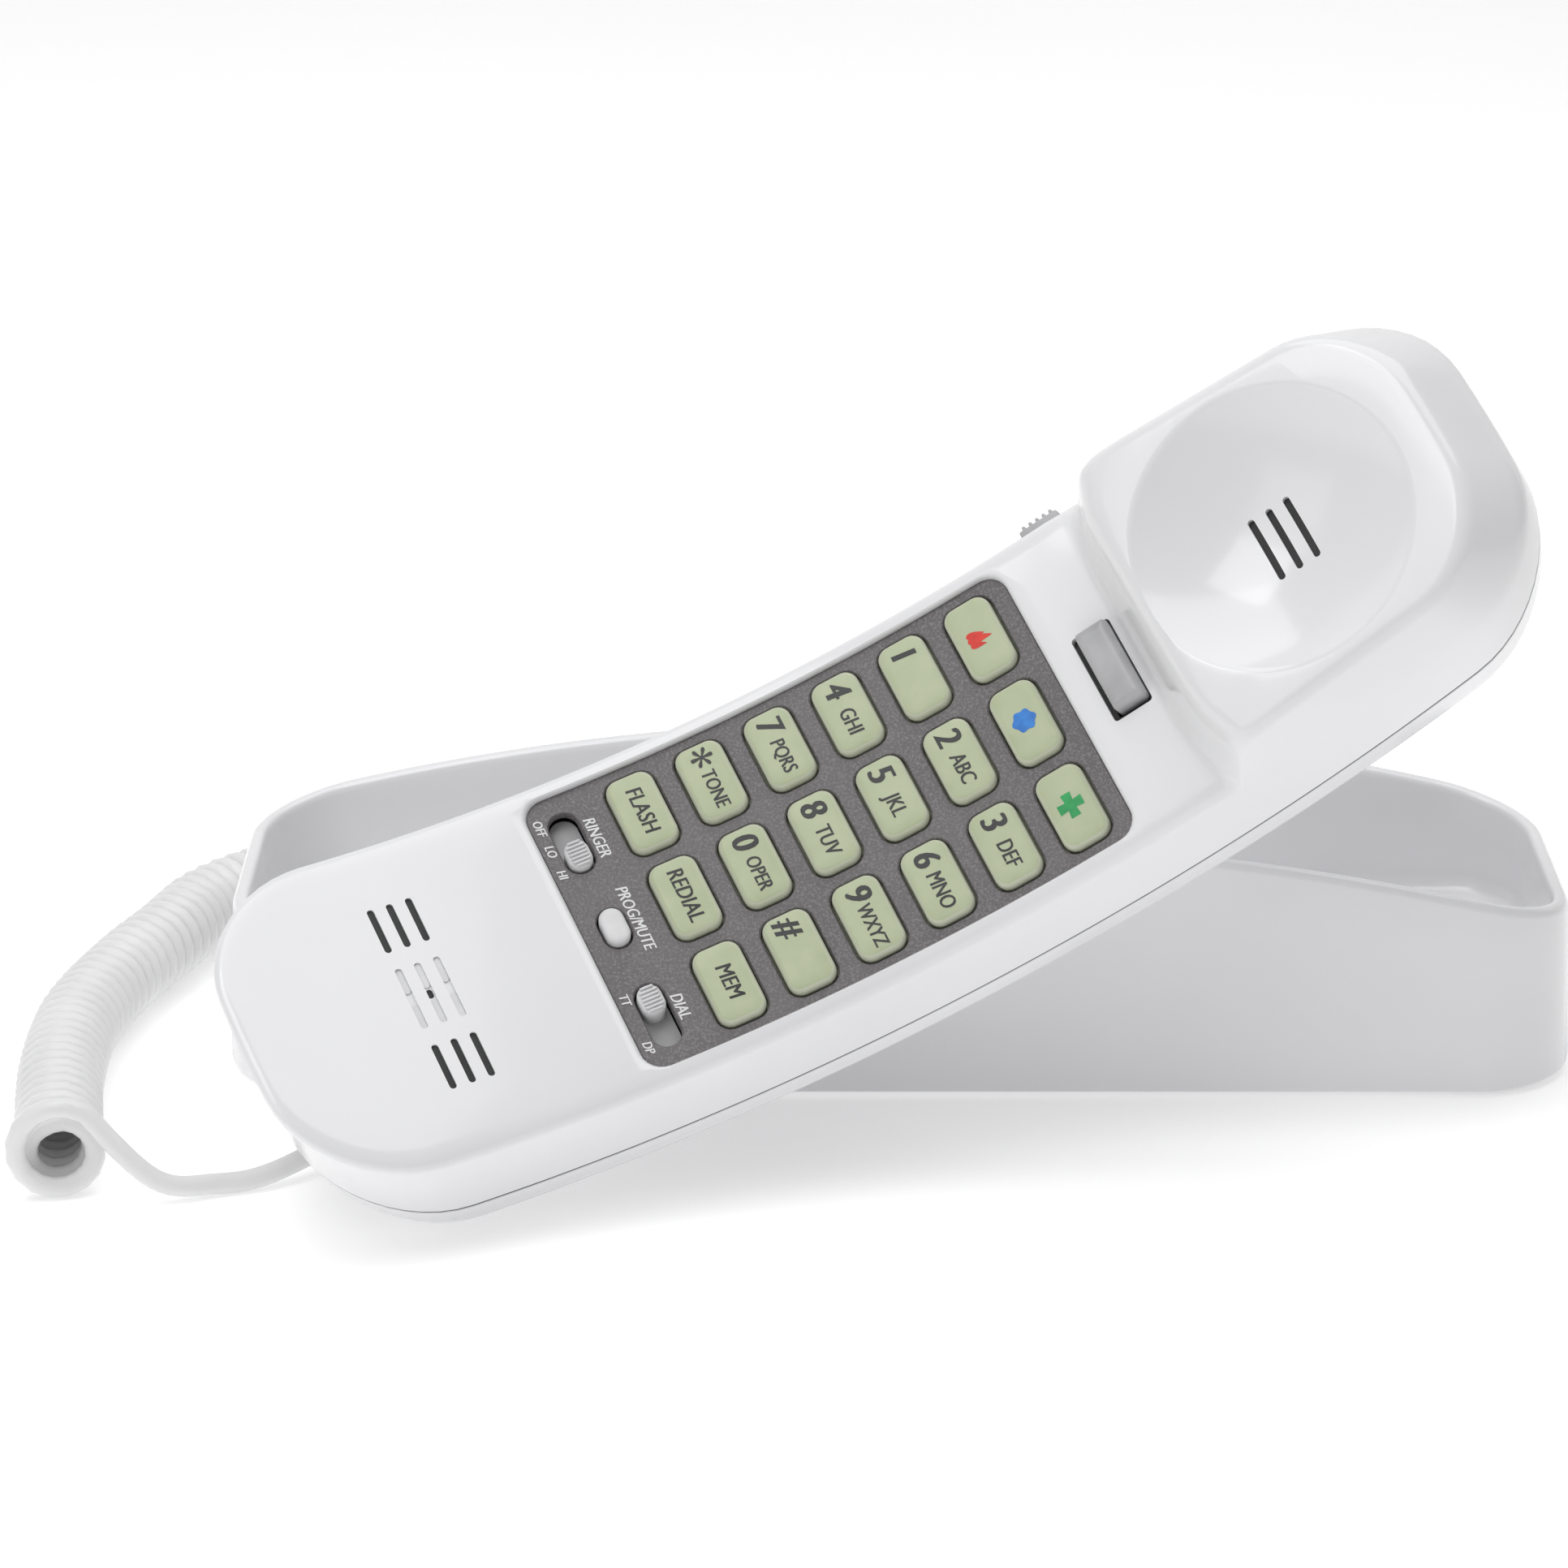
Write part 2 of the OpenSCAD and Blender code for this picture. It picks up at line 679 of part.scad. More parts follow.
// cord from the handset's plug down to the surface and into the coil's open end
function below_back(d) = from_handset([(arch_r + hs_thick + d) * sin(jack_a), 0,
    arch_r - (arch_r + hs_thick + d) * cos(jack_a)]);
tail_a = [below_back(plug_out + 1.1), below_back(plug_out + 4), [-99, -70, 2.4], [-108, -74, 2],
    [-117, -77.5, 4.2], [-128, -78.6, 11.6]];

module tail_handset() color("white") tube(tail_a, wire_d / 2, 8, 4);

module plug_handset() color("lightgray") placed() at_handset_jack() {
    translate([-3.2, -3.7, -plug_out + 4]) cube([6.4, 7.4, plug_out - 4 + 6]);
    translate([-2, -2.4, -plug_out]) cube([4, 4.8, 4.1]);
}

tail_b = [[20.6, 66, 9], [28, 64, 10], [32, 58, 11], [28, 52, 11],
    [18, 48, 11], [12.4, 44.5, 11], [12, 41.8, 11]];

module tail_base() color("white") tube(tail_b, wire_d / 2, 8, 3);

module plug_base() color("lightgray") translate([cord_jack_x, rear_y, jack_z]) {
    translate([-3.8, -8, -3.2]) cube([7.6, 16, 6.4]);
}

base_wall_near();
base_wall_far();
base_end_mouth();
base_end_ear();
base_deck();
base_bottom();
base_weight();
base_feet();
base_screws();
line_jack();
base_handset_jack();
base_wires();
front_shell();
back_shell();
keypad_panel();
key(2, -1);  // key_fire
key(2, 0);  // key_police
key(2, 1);  // key_medical
key(1, -1);  // key_1
key(1, 0);  // key_2
key(1, 1);  // key_3
key(0, -1);  // key_4
key(0, 0);  // key_5
key(0, 1);  // key_6
key(-1, -1);  // key_7
key(-1, 0);  // key_8
key(-1, 1);  // key_9
key(-2, -1);  // key_star
key(-2, 0);  // key_0
key(-2, 1);  // key_pound
key(-3, -1);  // key_flash
key(-3, 0);  // key_redial
key(-3, 1);  // key_mem
key_mat();
main_board();
receiver();
receiver_seal();
microphone();
mic_boot();
ringer();
hook_button();
hook_spring();
hook_switch();
ringer_knob();
ringer_switch();
dial_knob();
dial_switch();
prog_button();
volume_knob();
volume_pot();
handset_jack();
handset_screws();
board_screws();
coil();
tail_handset();
tail_base();
plug_handset();
plug_base();
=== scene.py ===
# %% [markdown]
# # A slimline telephone and its curly cord
# This lesson dresses a finished mechanical model of a desk telephone. The mechanical model is a
# fixed frame: it says where every part is and how it moves. We build the parts that the eye
# sees, each in its place, and let each one ride on the body that carries it. We start with the
# tools.

# %% Load the frame
import json
import math
import bmesh
import bpy
from mathutils import Matrix, Vector

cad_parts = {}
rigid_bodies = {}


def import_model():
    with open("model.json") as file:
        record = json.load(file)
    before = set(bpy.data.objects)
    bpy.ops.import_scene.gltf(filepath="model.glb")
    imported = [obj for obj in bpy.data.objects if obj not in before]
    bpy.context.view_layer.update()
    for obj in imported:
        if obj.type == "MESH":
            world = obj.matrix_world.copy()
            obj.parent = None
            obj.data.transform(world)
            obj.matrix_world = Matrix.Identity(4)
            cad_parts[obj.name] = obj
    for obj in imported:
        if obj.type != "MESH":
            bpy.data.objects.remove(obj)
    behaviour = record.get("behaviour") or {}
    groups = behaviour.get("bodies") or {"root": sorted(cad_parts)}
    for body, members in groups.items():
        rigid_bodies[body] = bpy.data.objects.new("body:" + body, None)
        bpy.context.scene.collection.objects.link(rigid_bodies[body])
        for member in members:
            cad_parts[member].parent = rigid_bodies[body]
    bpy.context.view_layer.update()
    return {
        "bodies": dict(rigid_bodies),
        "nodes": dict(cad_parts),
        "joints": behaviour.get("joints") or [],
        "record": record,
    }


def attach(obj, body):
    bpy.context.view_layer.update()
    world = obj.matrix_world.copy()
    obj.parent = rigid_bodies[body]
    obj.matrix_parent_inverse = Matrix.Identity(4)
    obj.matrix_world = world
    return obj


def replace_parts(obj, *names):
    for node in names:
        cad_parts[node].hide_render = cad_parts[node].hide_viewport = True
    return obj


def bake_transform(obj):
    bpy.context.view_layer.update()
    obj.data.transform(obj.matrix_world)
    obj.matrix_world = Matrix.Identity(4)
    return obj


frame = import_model()
for kind in ("bodies", "nodes", "joints"):
    print(kind + ":", len(frame[kind]))

# %% [markdown]
# ## The camera
# A camera is placed by the point it looks at, the direction it looks from and how far away it
# is. A long lens from a good distance keeps the handset's sides nearly parallel, which is how
# small objects are usually shown. We could aim it with a constraint, but working out the
# rotation once keeps the camera a plain object that other views can move.

# %% Camera
MM = 0.001
LOOK_AT = Vector((-19.2, -79.8, 69.75)) * MM
LOOK_DOWN = math.radians(18.5)
CAMERA_DISTANCE = 0.815
LENS = 123.8
SENSOR = 36

camera_data = bpy.data.cameras.new("camera")
camera_data.lens = LENS
camera_data.sensor_width = SENSOR
camera = bpy.data.objects.new("camera", camera_data)
bpy.context.scene.collection.objects.link(camera)
towards_camera = Vector((0, -math.cos(LOOK_DOWN), math.sin(LOOK_DOWN)))
camera.location = LOOK_AT + towards_camera * CAMERA_DISTANCE
camera.rotation_euler = (-towards_camera).to_track_quat("-Z", "Y").to_euler()
bpy.context.scene.camera = camera
print("camera at", [round(c, 3) for c in camera.location])

# %% [markdown]
# ## Two places to build in
# The base stands square in the frame, but the handset leans on it. It is far easier to model a
# handset lying straight, so we model it in its own coordinates: x runs towards the earpiece, y
# across, z out of the face, in millimetres from the middle key. One matrix then puts it in
# place. Its face follows a large arc, so a second helper turns "this far along, this far
# across, this deep" into a point.

# %% Placing helpers
LEAN = (45.5, -26.5, 9.0)
MIDDLE_KEY_AT = Vector((-2.5, -57.4, 60.3))
ARCH = 190.0
STANDING = Matrix.Identity(4)
HANDSET = (Matrix.Translation(MIDDLE_KEY_AT)
           @ Matrix.Rotation(math.radians(LEAN[2]), 4, "Z")
           @ Matrix.Rotation(math.radians(LEAN[1]), 4, "Y")
           @ Matrix.Rotation(math.radians(LEAN[0]), 4, "X"))


def arch_point(x, y, depth=0.0):
    """A point at plan place x, y and at that depth below the arched face."""
    radius = ARCH + depth
    return Vector((x, y, ARCH - math.sqrt(radius * radius - x * x)))


def on_arch(x):
    """A flat place on the arched face: its x runs along the face, its z out of it."""
    angle = math.asin(x / ARCH)
    return (HANDSET @ Matrix.Translation((0, 0, ARCH)) @ Matrix.Rotation(-angle, 4, "Y")
            @ Matrix.Translation((0, 0, -ARCH)))


print("earpiece end of the face:", [round(c, 1) for c in HANDSET @ arch_point(108, 0)])

# %% [markdown]
# ## Making a mesh
# Nearly everything here is a loft: a row of closed loops with the same number of points, joined
# by four-sided faces. Lofts give even, well-shaped faces, which a glossy plastic needs, because
# a highlight shows every kink. The helper also joins points that fall together, as they do where
# a loft closes on a line, and turns all faces outward.

# %% Mesh helpers
CRISP = 40.0
SAME_POINT = 1e-6
NO_LENGTH = 1e-7


def add_object(name, mesh):
    """A new object for the mesh, in the scene."""
    made = bpy.data.objects.new(name, mesh)
    bpy.context.scene.collection.objects.link(made)
    return made


def mesh_piece(name, points, faces, place=STANDING, crease=CRISP):
    """A mesh object from points in millimetres, smooth but for edges sharper than crease."""
    mesh = bpy.data.meshes.new(name)
    mesh.from_pydata([(place @ Vector(p)) * MM for p in points], [], faces)
    shape = bmesh.new()
    shape.from_mesh(mesh)
    bmesh.ops.remove_doubles(shape, verts=shape.verts, dist=SAME_POINT)
    bmesh.ops.dissolve_degenerate(shape, edges=shape.edges, dist=NO_LENGTH)
    bmesh.ops.recalc_face_normals(shape, faces=shape.faces)
    shape.to_mesh(mesh)
    shape.free()
    soften(mesh, crease)
    return add_object(name, mesh)


def soften(mesh, crease):
    """Smooth shading, with edges sharper than crease degrees left crisp."""
    mesh.polygons.foreach_set("use_smooth", [True] * len(mesh.polygons))
    mesh.set_sharp_from_angle(angle=math.radians(crease))


def loft(rings, cap_first=False, cap_last=False):
    """Points and faces of a skin through closed rings of equal length."""
    count = len(rings[0])
    points = [p for ring in rings for p in ring]
    faces = []
    for r in range(len(rings) - 1):
        for k in range(count):
            a, b = r * count + k, r * count + (k + 1) % count
            faces.append((a, b, b + count, a + count))
    if cap_first:
        faces.append(tuple(range(count - 1, -1, -1)))
    if cap_last:
        faces.append(tuple(range(len(points) - count, len(points))))
    return points, faces


def rounded_loop(x0, x1, half, corner, steps=6):
    """A rectangle with round corners, as points around it."""
    corner = max(corner, 0.05)
    loop = []
    for cx, cy, start in ((x1 - corner, half - corner, 0), (x0 + corner, half - corner, 90),
                          (x0 + corner, corner - half, 180), (x1 - corner, corner - half, 270)):
        for k in range(steps + 1):
            angle = math.radians(start + 90 * k / steps)
            loop.append((cx + corner * math.cos(angle), cy + corner * math.sin(angle)))
    return loop


def pill_stack(length, width, corner, levels, steps=6):
    """Rings of a rounded block: levels are (z, inset) pairs from its foot to its top."""
    return [[(x, y, z) for x, y in rounded_loop(-length / 2 + inset, length / 2 - inset,
                                                 width / 2 - inset, corner - inset, steps)]
            for z, inset in levels]


def join_all(name, parts):
    """Several mesh objects as one."""
    mesh = bpy.data.meshes.new(name)
    shape = bmesh.new()
    for part in parts:
        shape.from_mesh(part.data)
        bpy.data.objects.remove(part)
    shape.to_mesh(mesh)
    shape.free()
    return add_object(name, mesh)


def combine(piece, tools, how="DIFFERENCE"):
    """Cuts the tools out of a piece, or adds them to it, and leaves a plain mesh."""
    for tool in tools:
        step = piece.modifiers.new(how.lower(), "BOOLEAN")
        step.operation = how
        step.object = tool
        step.solver = "EXACT"
    graph = bpy.context.evaluated_depsgraph_get()
    mesh = bpy.data.meshes.new_from_object(piece.evaluated_get(graph))
    piece.modifiers.clear()
    piece.data = mesh
    for tool in tools:
        bpy.data.objects.remove(tool)
    soften(mesh, CRISP)
    return piece


# %% [markdown]
# ## Materials
# A moulded plastic is never one flat colour. Its tone drifts a little over some centimetres, it
# has a fine grain or polish marks, and its gloss is slightly uneven. One recipe gives all the
# plastics here: a slow noise mixes two near tones, a fine noise bumps the surface, and a third
# moves the roughness a little. Values that are the same all over, such as the clear coat, stay
# on the shader's own sockets.

# %% Material recipe
COAT_ROUGHNESS = 0.08
RELIEF_HEIGHT = 0.0002
TONE_BAND = (0.35, 0.65)


def finish_of(name, dark, light, roughness=0.3, grain=900.0, bump=0.03, patch=30.0, coat=0.0,
              metallic=0.0, transmission=0.0, rough_drift=0.06):
    """A material with drifting tone, fine grain and uneven gloss."""
    material = bpy.data.materials.new(name)
    material["finish"] = name
    material.use_nodes = True
    nodes, links = material.node_tree.nodes, material.node_tree.links
    shader = nodes["Principled BSDF"]
    shader.inputs["Metallic"].default_value = metallic
    shader.inputs["Coat Weight"].default_value = coat
    shader.inputs["Coat Roughness"].default_value = COAT_ROUGHNESS
    shader.inputs["Transmission Weight"].default_value = transmission
    place = nodes.new("ShaderNodeTexCoord")
    slow = nodes.new("ShaderNodeTexNoise")
    slow.inputs["Scale"].default_value = patch
    slow.inputs["Detail"].default_value = 4
    links.new(place.outputs["Object"], slow.inputs["Vector"])
    tone = nodes.new("ShaderNodeValToRGB")
    for element, position, colour in zip(tone.color_ramp.elements, TONE_BAND, (dark, light)):
        element.position = position
        element.color = (*colour, 1)
    links.new(slow.outputs["Fac"], tone.inputs["Fac"])
    links.new(tone.outputs["Color"], shader.inputs["Base Color"])
    gloss = nodes.new("ShaderNodeMapRange")
    gloss.inputs["To Min"].default_value = max(0.02, roughness - rough_drift)
    gloss.inputs["To Max"].default_value = roughness + rough_drift
    links.new(slow.outputs["Fac"], gloss.inputs["Value"])
    links.new(gloss.outputs["Result"], shader.inputs["Roughness"])
    fine = nodes.new("ShaderNodeTexNoise")
    fine.inputs["Scale"].default_value = grain
    fine.inputs["Detail"].default_value = 3
    links.new(place.outputs["Object"], fine.inputs["Vector"])
    relief = nodes.new("ShaderNodeBump")
    relief.inputs["Strength"].default_value = bump
    relief.inputs["Distance"].default_value = RELIEF_HEIGHT
    links.new(fine.outputs["Fac"], relief.inputs["Height"])
    links.new(relief.outputs["Normal"], shader.inputs["Normal"])
    return material


shell_white = finish_of("shell_white", (0.80, 0.80, 0.815), (0.83, 0.83, 0.845), 0.20, 500, 0.02,
                        18, coat=0.35)
cord_white = finish_of("cord_white", (0.78, 0.78, 0.78), (0.83, 0.83, 0.83), 0.33, 1400, 0.05, 60)
key_green = finish_of("key_green", (0.44, 0.50, 0.315), (0.49, 0.54, 0.36), 0.42, 1500, 0.05, 220)
knob_light = finish_of("knob_light", (0.68, 0.68, 0.69), (0.76, 0.76, 0.77), 0.4, 1500, 0.05, 200)
hook_grey = finish_of("hook_grey", (0.40, 0.40, 0.41), (0.48, 0.48, 0.49), 0.30, 1200, 0.05, 150)
knob_grey = finish_of("knob_grey", (0.42, 0.42, 0.43), (0.50, 0.50, 0.51), 0.4, 1200, 0.05, 150)
# black for the switches and seals, and also the painted shade in the seam, the hook's gap and the
# slots
switch_black = finish_of("switch_black", (0.012, 0.012, 0.013), (0.03, 0.03, 0.031), 0.55, 900, 0.1,
                         90)
steel = finish_of("steel", (0.50, 0.50, 0.52), (0.66, 0.66, 0.68), 0.32, 2500, 0.15, 200,
                  metallic=1.0)
foot_rubber = finish_of("foot_rubber", (0.05, 0.05, 0.05), (0.10, 0.10, 0.10), 0.8, 1800, 0.3, 200)
jack_ivory = finish_of("jack_ivory", (0.66, 0.62, 0.50), (0.74, 0.70, 0.58), 0.4, 1400, 0.06, 120)
wire_red = finish_of("wire_red", (0.42, 0.02, 0.015), (0.55, 0.035, 0.03), 0.4, 2500, 0.08, 300)
mat_rubber = finish_of("mat_rubber", (0.50, 0.52, 0.50), (0.60, 0.62, 0.60), 0.75, 1200, 0.2, 100)
board_green = finish_of("board_green", (0.01, 0.09, 0.035), (0.02, 0.15, 0.06), 0.35, 700, 0.2, 400)
receiver_grey = finish_of("receiver_grey", (0.10, 0.10, 0.10), (0.16, 0.16, 0.16), 0.5, 900, 0.1,
                          100)
brass_can = finish_of("brass_can", (0.55, 0.38, 0.13), (0.70, 0.50, 0.20), 0.3, 1500, 0.1, 90,
                      metallic=1.0)
plug_clear = finish_of("plug_clear", (0.86, 0.88, 0.88), (0.93, 0.95, 0.95), 0.08, 900, 0.02, 60,
                       transmission=0.85)
ink_black = finish_of("ink_black", (0.010, 0.010, 0.011), (0.022, 0.022, 0.023), 0.4, 2500, 0.1,
                      500)
ink_white = finish_of("ink_white", (0.72, 0.72, 0.72), (0.80, 0.80, 0.80), 0.45, 2500, 0.1, 500)
ink_red = finish_of("ink_red", (0.62, 0.022, 0.012), (0.75, 0.04, 0.02), 0.45, 2500, 0.1, 500)
ink_blue = finish_of("ink_blue", (0.012, 0.16, 0.55), (0.03, 0.24, 0.70), 0.45, 2500, 0.1, 500)
ink_green = finish_of("ink_green", (0.008, 0.28, 0.07), (0.02, 0.38, 0.10), 0.45, 2500, 0.1, 500)


def mix_in(material, value, none_at, all_at, colour):
    """Mixes a colour into the tone as the value goes from none_at to all_at."""
    nodes, links = material.node_tree.nodes, material.node_tree.links
    base_colour = nodes["Principled BSDF"].inputs["Base Color"]
    amount = nodes.new("ShaderNodeMapRange")
    amount.inputs["From Min"].default_value = none_at
    amount.inputs["From Max"].default_value = all_at
    links.new(value, amount.inputs["Value"])
    mix = nodes.new("ShaderNodeMix")
    mix.data_type = "RGBA"
    tone = base_colour.links[0].from_socket
    links.new(amount.outputs["Result"], mix.inputs["Factor"])
    links.new(tone, mix.inputs[6])
    mix.inputs[7].default_value = (*colour, 1)
    links.new(mix.outputs[2], base_colour)


def panel_finish():
    """The keypad panel's spark-eroded texture: fine light specks in a warm grey."""
    speck_size = 2600
    material = finish_of("panel_grey", (0.125, 0.116, 0.120), (0.150, 0.140, 0.145), 0.5,
                         speck_size, 0.35, 60)
    nodes, links = material.node_tree.nodes, material.node_tree.links
    place = nodes.new("ShaderNodeTexCoord")
    speck = nodes.new("ShaderNodeTexNoise")
    speck.inputs["Scale"].default_value = speck_size
    speck.inputs["Detail"].default_value = 2
    links.new(place.outputs["Object"], speck.inputs["Vector"])
    mix_in(material, speck.outputs["Fac"], 0.45, 0.75, (0.24, 0.228, 0.234))
    return material


def paint_edge_highlight(material, facing, colour):
    """Painted highlight: mixes a lighter colour in where the surface turns away from the direction
    it mainly faces.
    """
    nodes, links = material.node_tree.nodes, material.node_tree.links
    place = nodes.new("ShaderNodeTexCoord")
    along = nodes.new("ShaderNodeVectorMath")
    along.operation = "DOT_PRODUCT"
    along.inputs[1].default_value = facing
    links.new(place.outputs["Normal"], along.inputs[0])
    mix_in(material, along.outputs["Value"], 0.96, 0.70, colour)


OUT_OF_FACE = (HANDSET.to_3x3() @ Vector((0, 0, 1))).normalized()
# painted highlight: the keys' rounded rims are made lighter, as where they would catch the light
paint_edge_highlight(key_green, OUT_OF_FACE, (0.60, 0.63, 0.49))
panel_grey = panel_finish()
print("finishes:", len(bpy.data.materials))


def dress(piece, material):
    """Gives a piece one material all over."""
    piece.data.materials.clear()
    piece.data.materials.append(material)


def settle(piece, material, body):
    """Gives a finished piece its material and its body."""
    dress(piece, material)
    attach(piece, body)
    return piece


# %% [markdown]
# ## The curly cord
# A handset cord is a round cable that was wound on a rod and baked, so it springs back into a
# tight helix. Its two ends are left straight and carry small clear plugs. A helix could be a
# curve with a screw modifier, but then it would ignore the bend of the coil. Instead we walk
# along the middle line of the coil and let a point circle around it once for every turn. The
# straight ends are joined on, and a tube is swept along all of it.

# %% Cord route
CORD_WIRE = 3.3
COIL_WIDTH = 14.4
TURN_PITCH = 3.42
POINTS_PER_TURN = 16
COIL_MIDDLE_Z = COIL_WIDTH / 2 + 0.1
START_ANGLE = 55
LOOSE_TURN = 1.15
LOOSE_BY = 1.8
TIGHT_BY = 0.7
TURN_CLEARANCE = 0.06
COIL_LINE = [(-132, -76), (-134, -60), (-136, -40), (-136, -18), (-132, 3), (-126, 22), (-120, 40),
             (-108, 54), (-92, 62), (-70, 65), (-45, 66), (-20, 66), (0, 66), (20, 66)]
LINE_STEPS, TAIL_STEPS = 24, 8
SOCKET_ANGLE = math.radians(-25)
BACK_DEPTH = 25.0
PLUG_LENGTH = 10.0


def below_back(distance):
    """A point straight out of the handset's cord socket."""
    radius = ARCH + BACK_DEPTH + distance
    return HANDSET @ Vector((radius * math.sin(SOCKET_ANGLE), 0,
                             ARCH - radius * math.cos(SOCKET_ANGLE)))


def smooth_line(points, per_span):
    """A smooth curve through the points, per_span steps between each two."""
    points = [Vector(p) for p in points]
    last = len(points) - 1
    line = []
    for i in range(last):
        a, b = points[max(i - 1, 0)], points[i]
        c, d = points[i + 1], points[min(i + 2, last)]
        for k in range(per_span):
            t = k / per_span
            line.append(0.5 * (2 * b + (c - a) * t + (2 * a - 5 * b + 4 * c - d) * t * t
                               + (3 * b - a - 3 * c + d) * t ** 3))
    return line + [points[last]]


def evenly(line, count):
    """The same line as count + 1 points at equal distances."""
    lengths = [0.0]
    for a, b in zip(line, line[1:]):
        lengths.append(lengths[-1] + (b - a).length)
    out, j = [], 0
    for i in range(count + 1):
        want = lengths[-1] * i / count
        while j < len(line) - 2 and lengths[j + 1] < want:
            j += 1
        span = max(lengths[j + 1] - lengths[j], 1e-9)
        out.append(line[j].lerp(line[j + 1], (want - lengths[j]) / span))
    return out, lengths[-1]


def coil_points():
    """The helix around the coil's middle line, from the open front end to the base's end."""
    middle = smooth_line([(x, y, COIL_MIDDLE_Z) for x, y in COIL_LINE], LINE_STEPS)
    length = evenly(middle, 10)[1]
    turns = round(length / TURN_PITCH)
    steps = turns * POINTS_PER_TURN
    walk = evenly(middle, steps)[0]
    radius = (COIL_WIDTH - CORD_WIRE) / 2
    line = []
    for i, point in enumerate(walk):
        ahead = (walk[min(i + 1, steps)] - walk[max(i - 1, 0)]).normalized()
        side = ahead.cross(Vector((0, 0, 1))).normalized()
        angle = math.radians(START_ANGLE) + 2 * math.pi * i / POINTS_PER_TURN
        turn = i / POINTS_PER_TURN
        loose = LOOSE_BY * max(0.0, 1 - turn / LOOSE_TURN) ** 0.7
        tight = TIGHT_BY * max(0.0, 1 - abs(turn - LOOSE_TURN) / LOOSE_TURN)
        wide = radius - TURN_CLEARANCE + loose - tight
        line.append(point + Vector((0, 0, loose - tight)) - ahead * loose * 0.9
                    + wide * (math.cos(angle) * side + math.sin(angle) * Vector((0, 0, 1))))
    return line, turns


helix, turns = coil_points()
handset_tail = [below_back(PLUG_LENGTH + 1.1), below_back(PLUG_LENGTH + 4), Vector((-99, -70, 2.4)),
                Vector((-108, -74, 2)), Vector((-117, -77.5, 4.2)), helix[0]]
base_tail = [helix[-1], Vector((28, 64, 10)), Vector((32, 58, 11)), Vector((28, 52, 11)),
             Vector((18, 48, 11)), Vector((12.4, 44.5, 11)), Vector((12, 41.8, 11))]
cord_line = (smooth_line(handset_tail, TAIL_STEPS)[:-1] + helix
             + smooth_line(base_tail, TAIL_STEPS)[1:])
cord_length = evenly(cord_line, 10)[1] * MM
print("turns of the coil:", turns, "cord length in metres:", round(cord_length, 3))

# %% [markdown]
# ## Sweeping the cord
# The tube needs a ring of points around every point of the route. Turning each ring with the
# direction of travel, and carrying the last ring's sideways direction along, keeps the tube from
# twisting. The cord stretches when the handset is lifted, but here it is one fixed mesh on no body.

# %% Sweep the cord
CORD_SIDES = 10


def sweep(line, radius, sides):
    """Points and faces of a tube along a line."""
    rings = []
    side = None
    for i, point in enumerate(line):
        ahead = (line[min(i + 1, len(line) - 1)] - line[max(i - 1, 0)]).normalized()
        if side is None:
            side = ahead.orthogonal().normalized()
        side = (side - ahead * side.dot(ahead)).normalized()
        up = ahead.cross(side)
        turn = [2 * math.pi * k / sides for k in range(sides)]
        rings.append([point + radius * (math.cos(t) * side + math.sin(t) * up) for t in turn])
    return loft(rings, True, True)


cord = mesh_piece("curly_cord", *sweep(cord_line, CORD_WIRE / 2, CORD_SIDES))
dress(cord, cord_white)
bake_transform(cord)
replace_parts(cord, "coil", "tail_handset", "tail_base")
print("cord mesh points:", len(cord.data.vertices))

# %% [markdown]
# ## The clear plugs
# Each end of the cord has a small clear plug with a springy latch and four gilt contacts. The
# plug is a stepped block, so a few rounded blocks joined into one piece describe it well. Clear
# plastic is a shader with high transmission, and the contacts are what you see inside it.

# %% Plugs
BLADE_WIDTH, BLADE_PITCH = 0.5, 1.2


def box_points(x0, x1, y0, y1, z0, z1):
    """A plain block's points and faces, for building small parts from several."""
    points = [Vector((x, y, z)) for z in (z0, z1) for x, y in
              ((x0, y0), (x1, y0), (x1, y1), (x0, y1))]
    faces = [(3, 2, 1, 0), (4, 5, 6, 7), (0, 1, 5, 4), (1, 2, 6, 5), (2, 3, 7, 6), (3, 0, 4, 7)]
    return points, faces


def block(name, x0, x1, y0, y1, z0, z1, place=STANDING, soft=0.25):
    """A block with softened edges."""
    points, faces = box_points(x0, x1, y0, y1, z0, z1)
    made = mesh_piece(name, points, faces, place, 30)
    edge = made.modifiers.new("soft", "BEVEL")
    edge.width = soft * MM
    edge.segments = 3
    graph = bpy.context.evaluated_depsgraph_get()
    made.data = bpy.data.meshes.new_from_object(made.evaluated_get(graph))
    made.modifiers.clear()
    soften(made.data, 50)
    return made


def cord_plug(name, place, out_at, body, node):
    """A four-way handset plug. Its local x is its width; its y points out of the socket."""
    shell = join_all(name, [
        block("plug_body", -3.1, 3.1, out_at - 12, out_at, -2.9, 2.4, place),
        block("plug_collar", -2.6, 2.6, out_at - 1, out_at + 1.9, -2.3, 1.9, place),
        block("plug_latch", -1.3, 1.3, out_at - 10, out_at + 1.2, 2.5, 3.1, place, 0.15)])
    settle(shell, plug_clear, body)
    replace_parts(shell, node)
    half = BLADE_WIDTH / 2
    blades = join_all(name + "_contacts", [
        block("blade", x - half, x + half, out_at - 11.8, out_at - 7.5, -2.7, -0.6, place, 0.08)
        for x in (-1.5 * BLADE_PITCH, -0.5 * BLADE_PITCH, 0.5 * BLADE_PITCH, 1.5 * BLADE_PITCH)])
    settle(blades, brass_can, body)
    return [shell, blades]


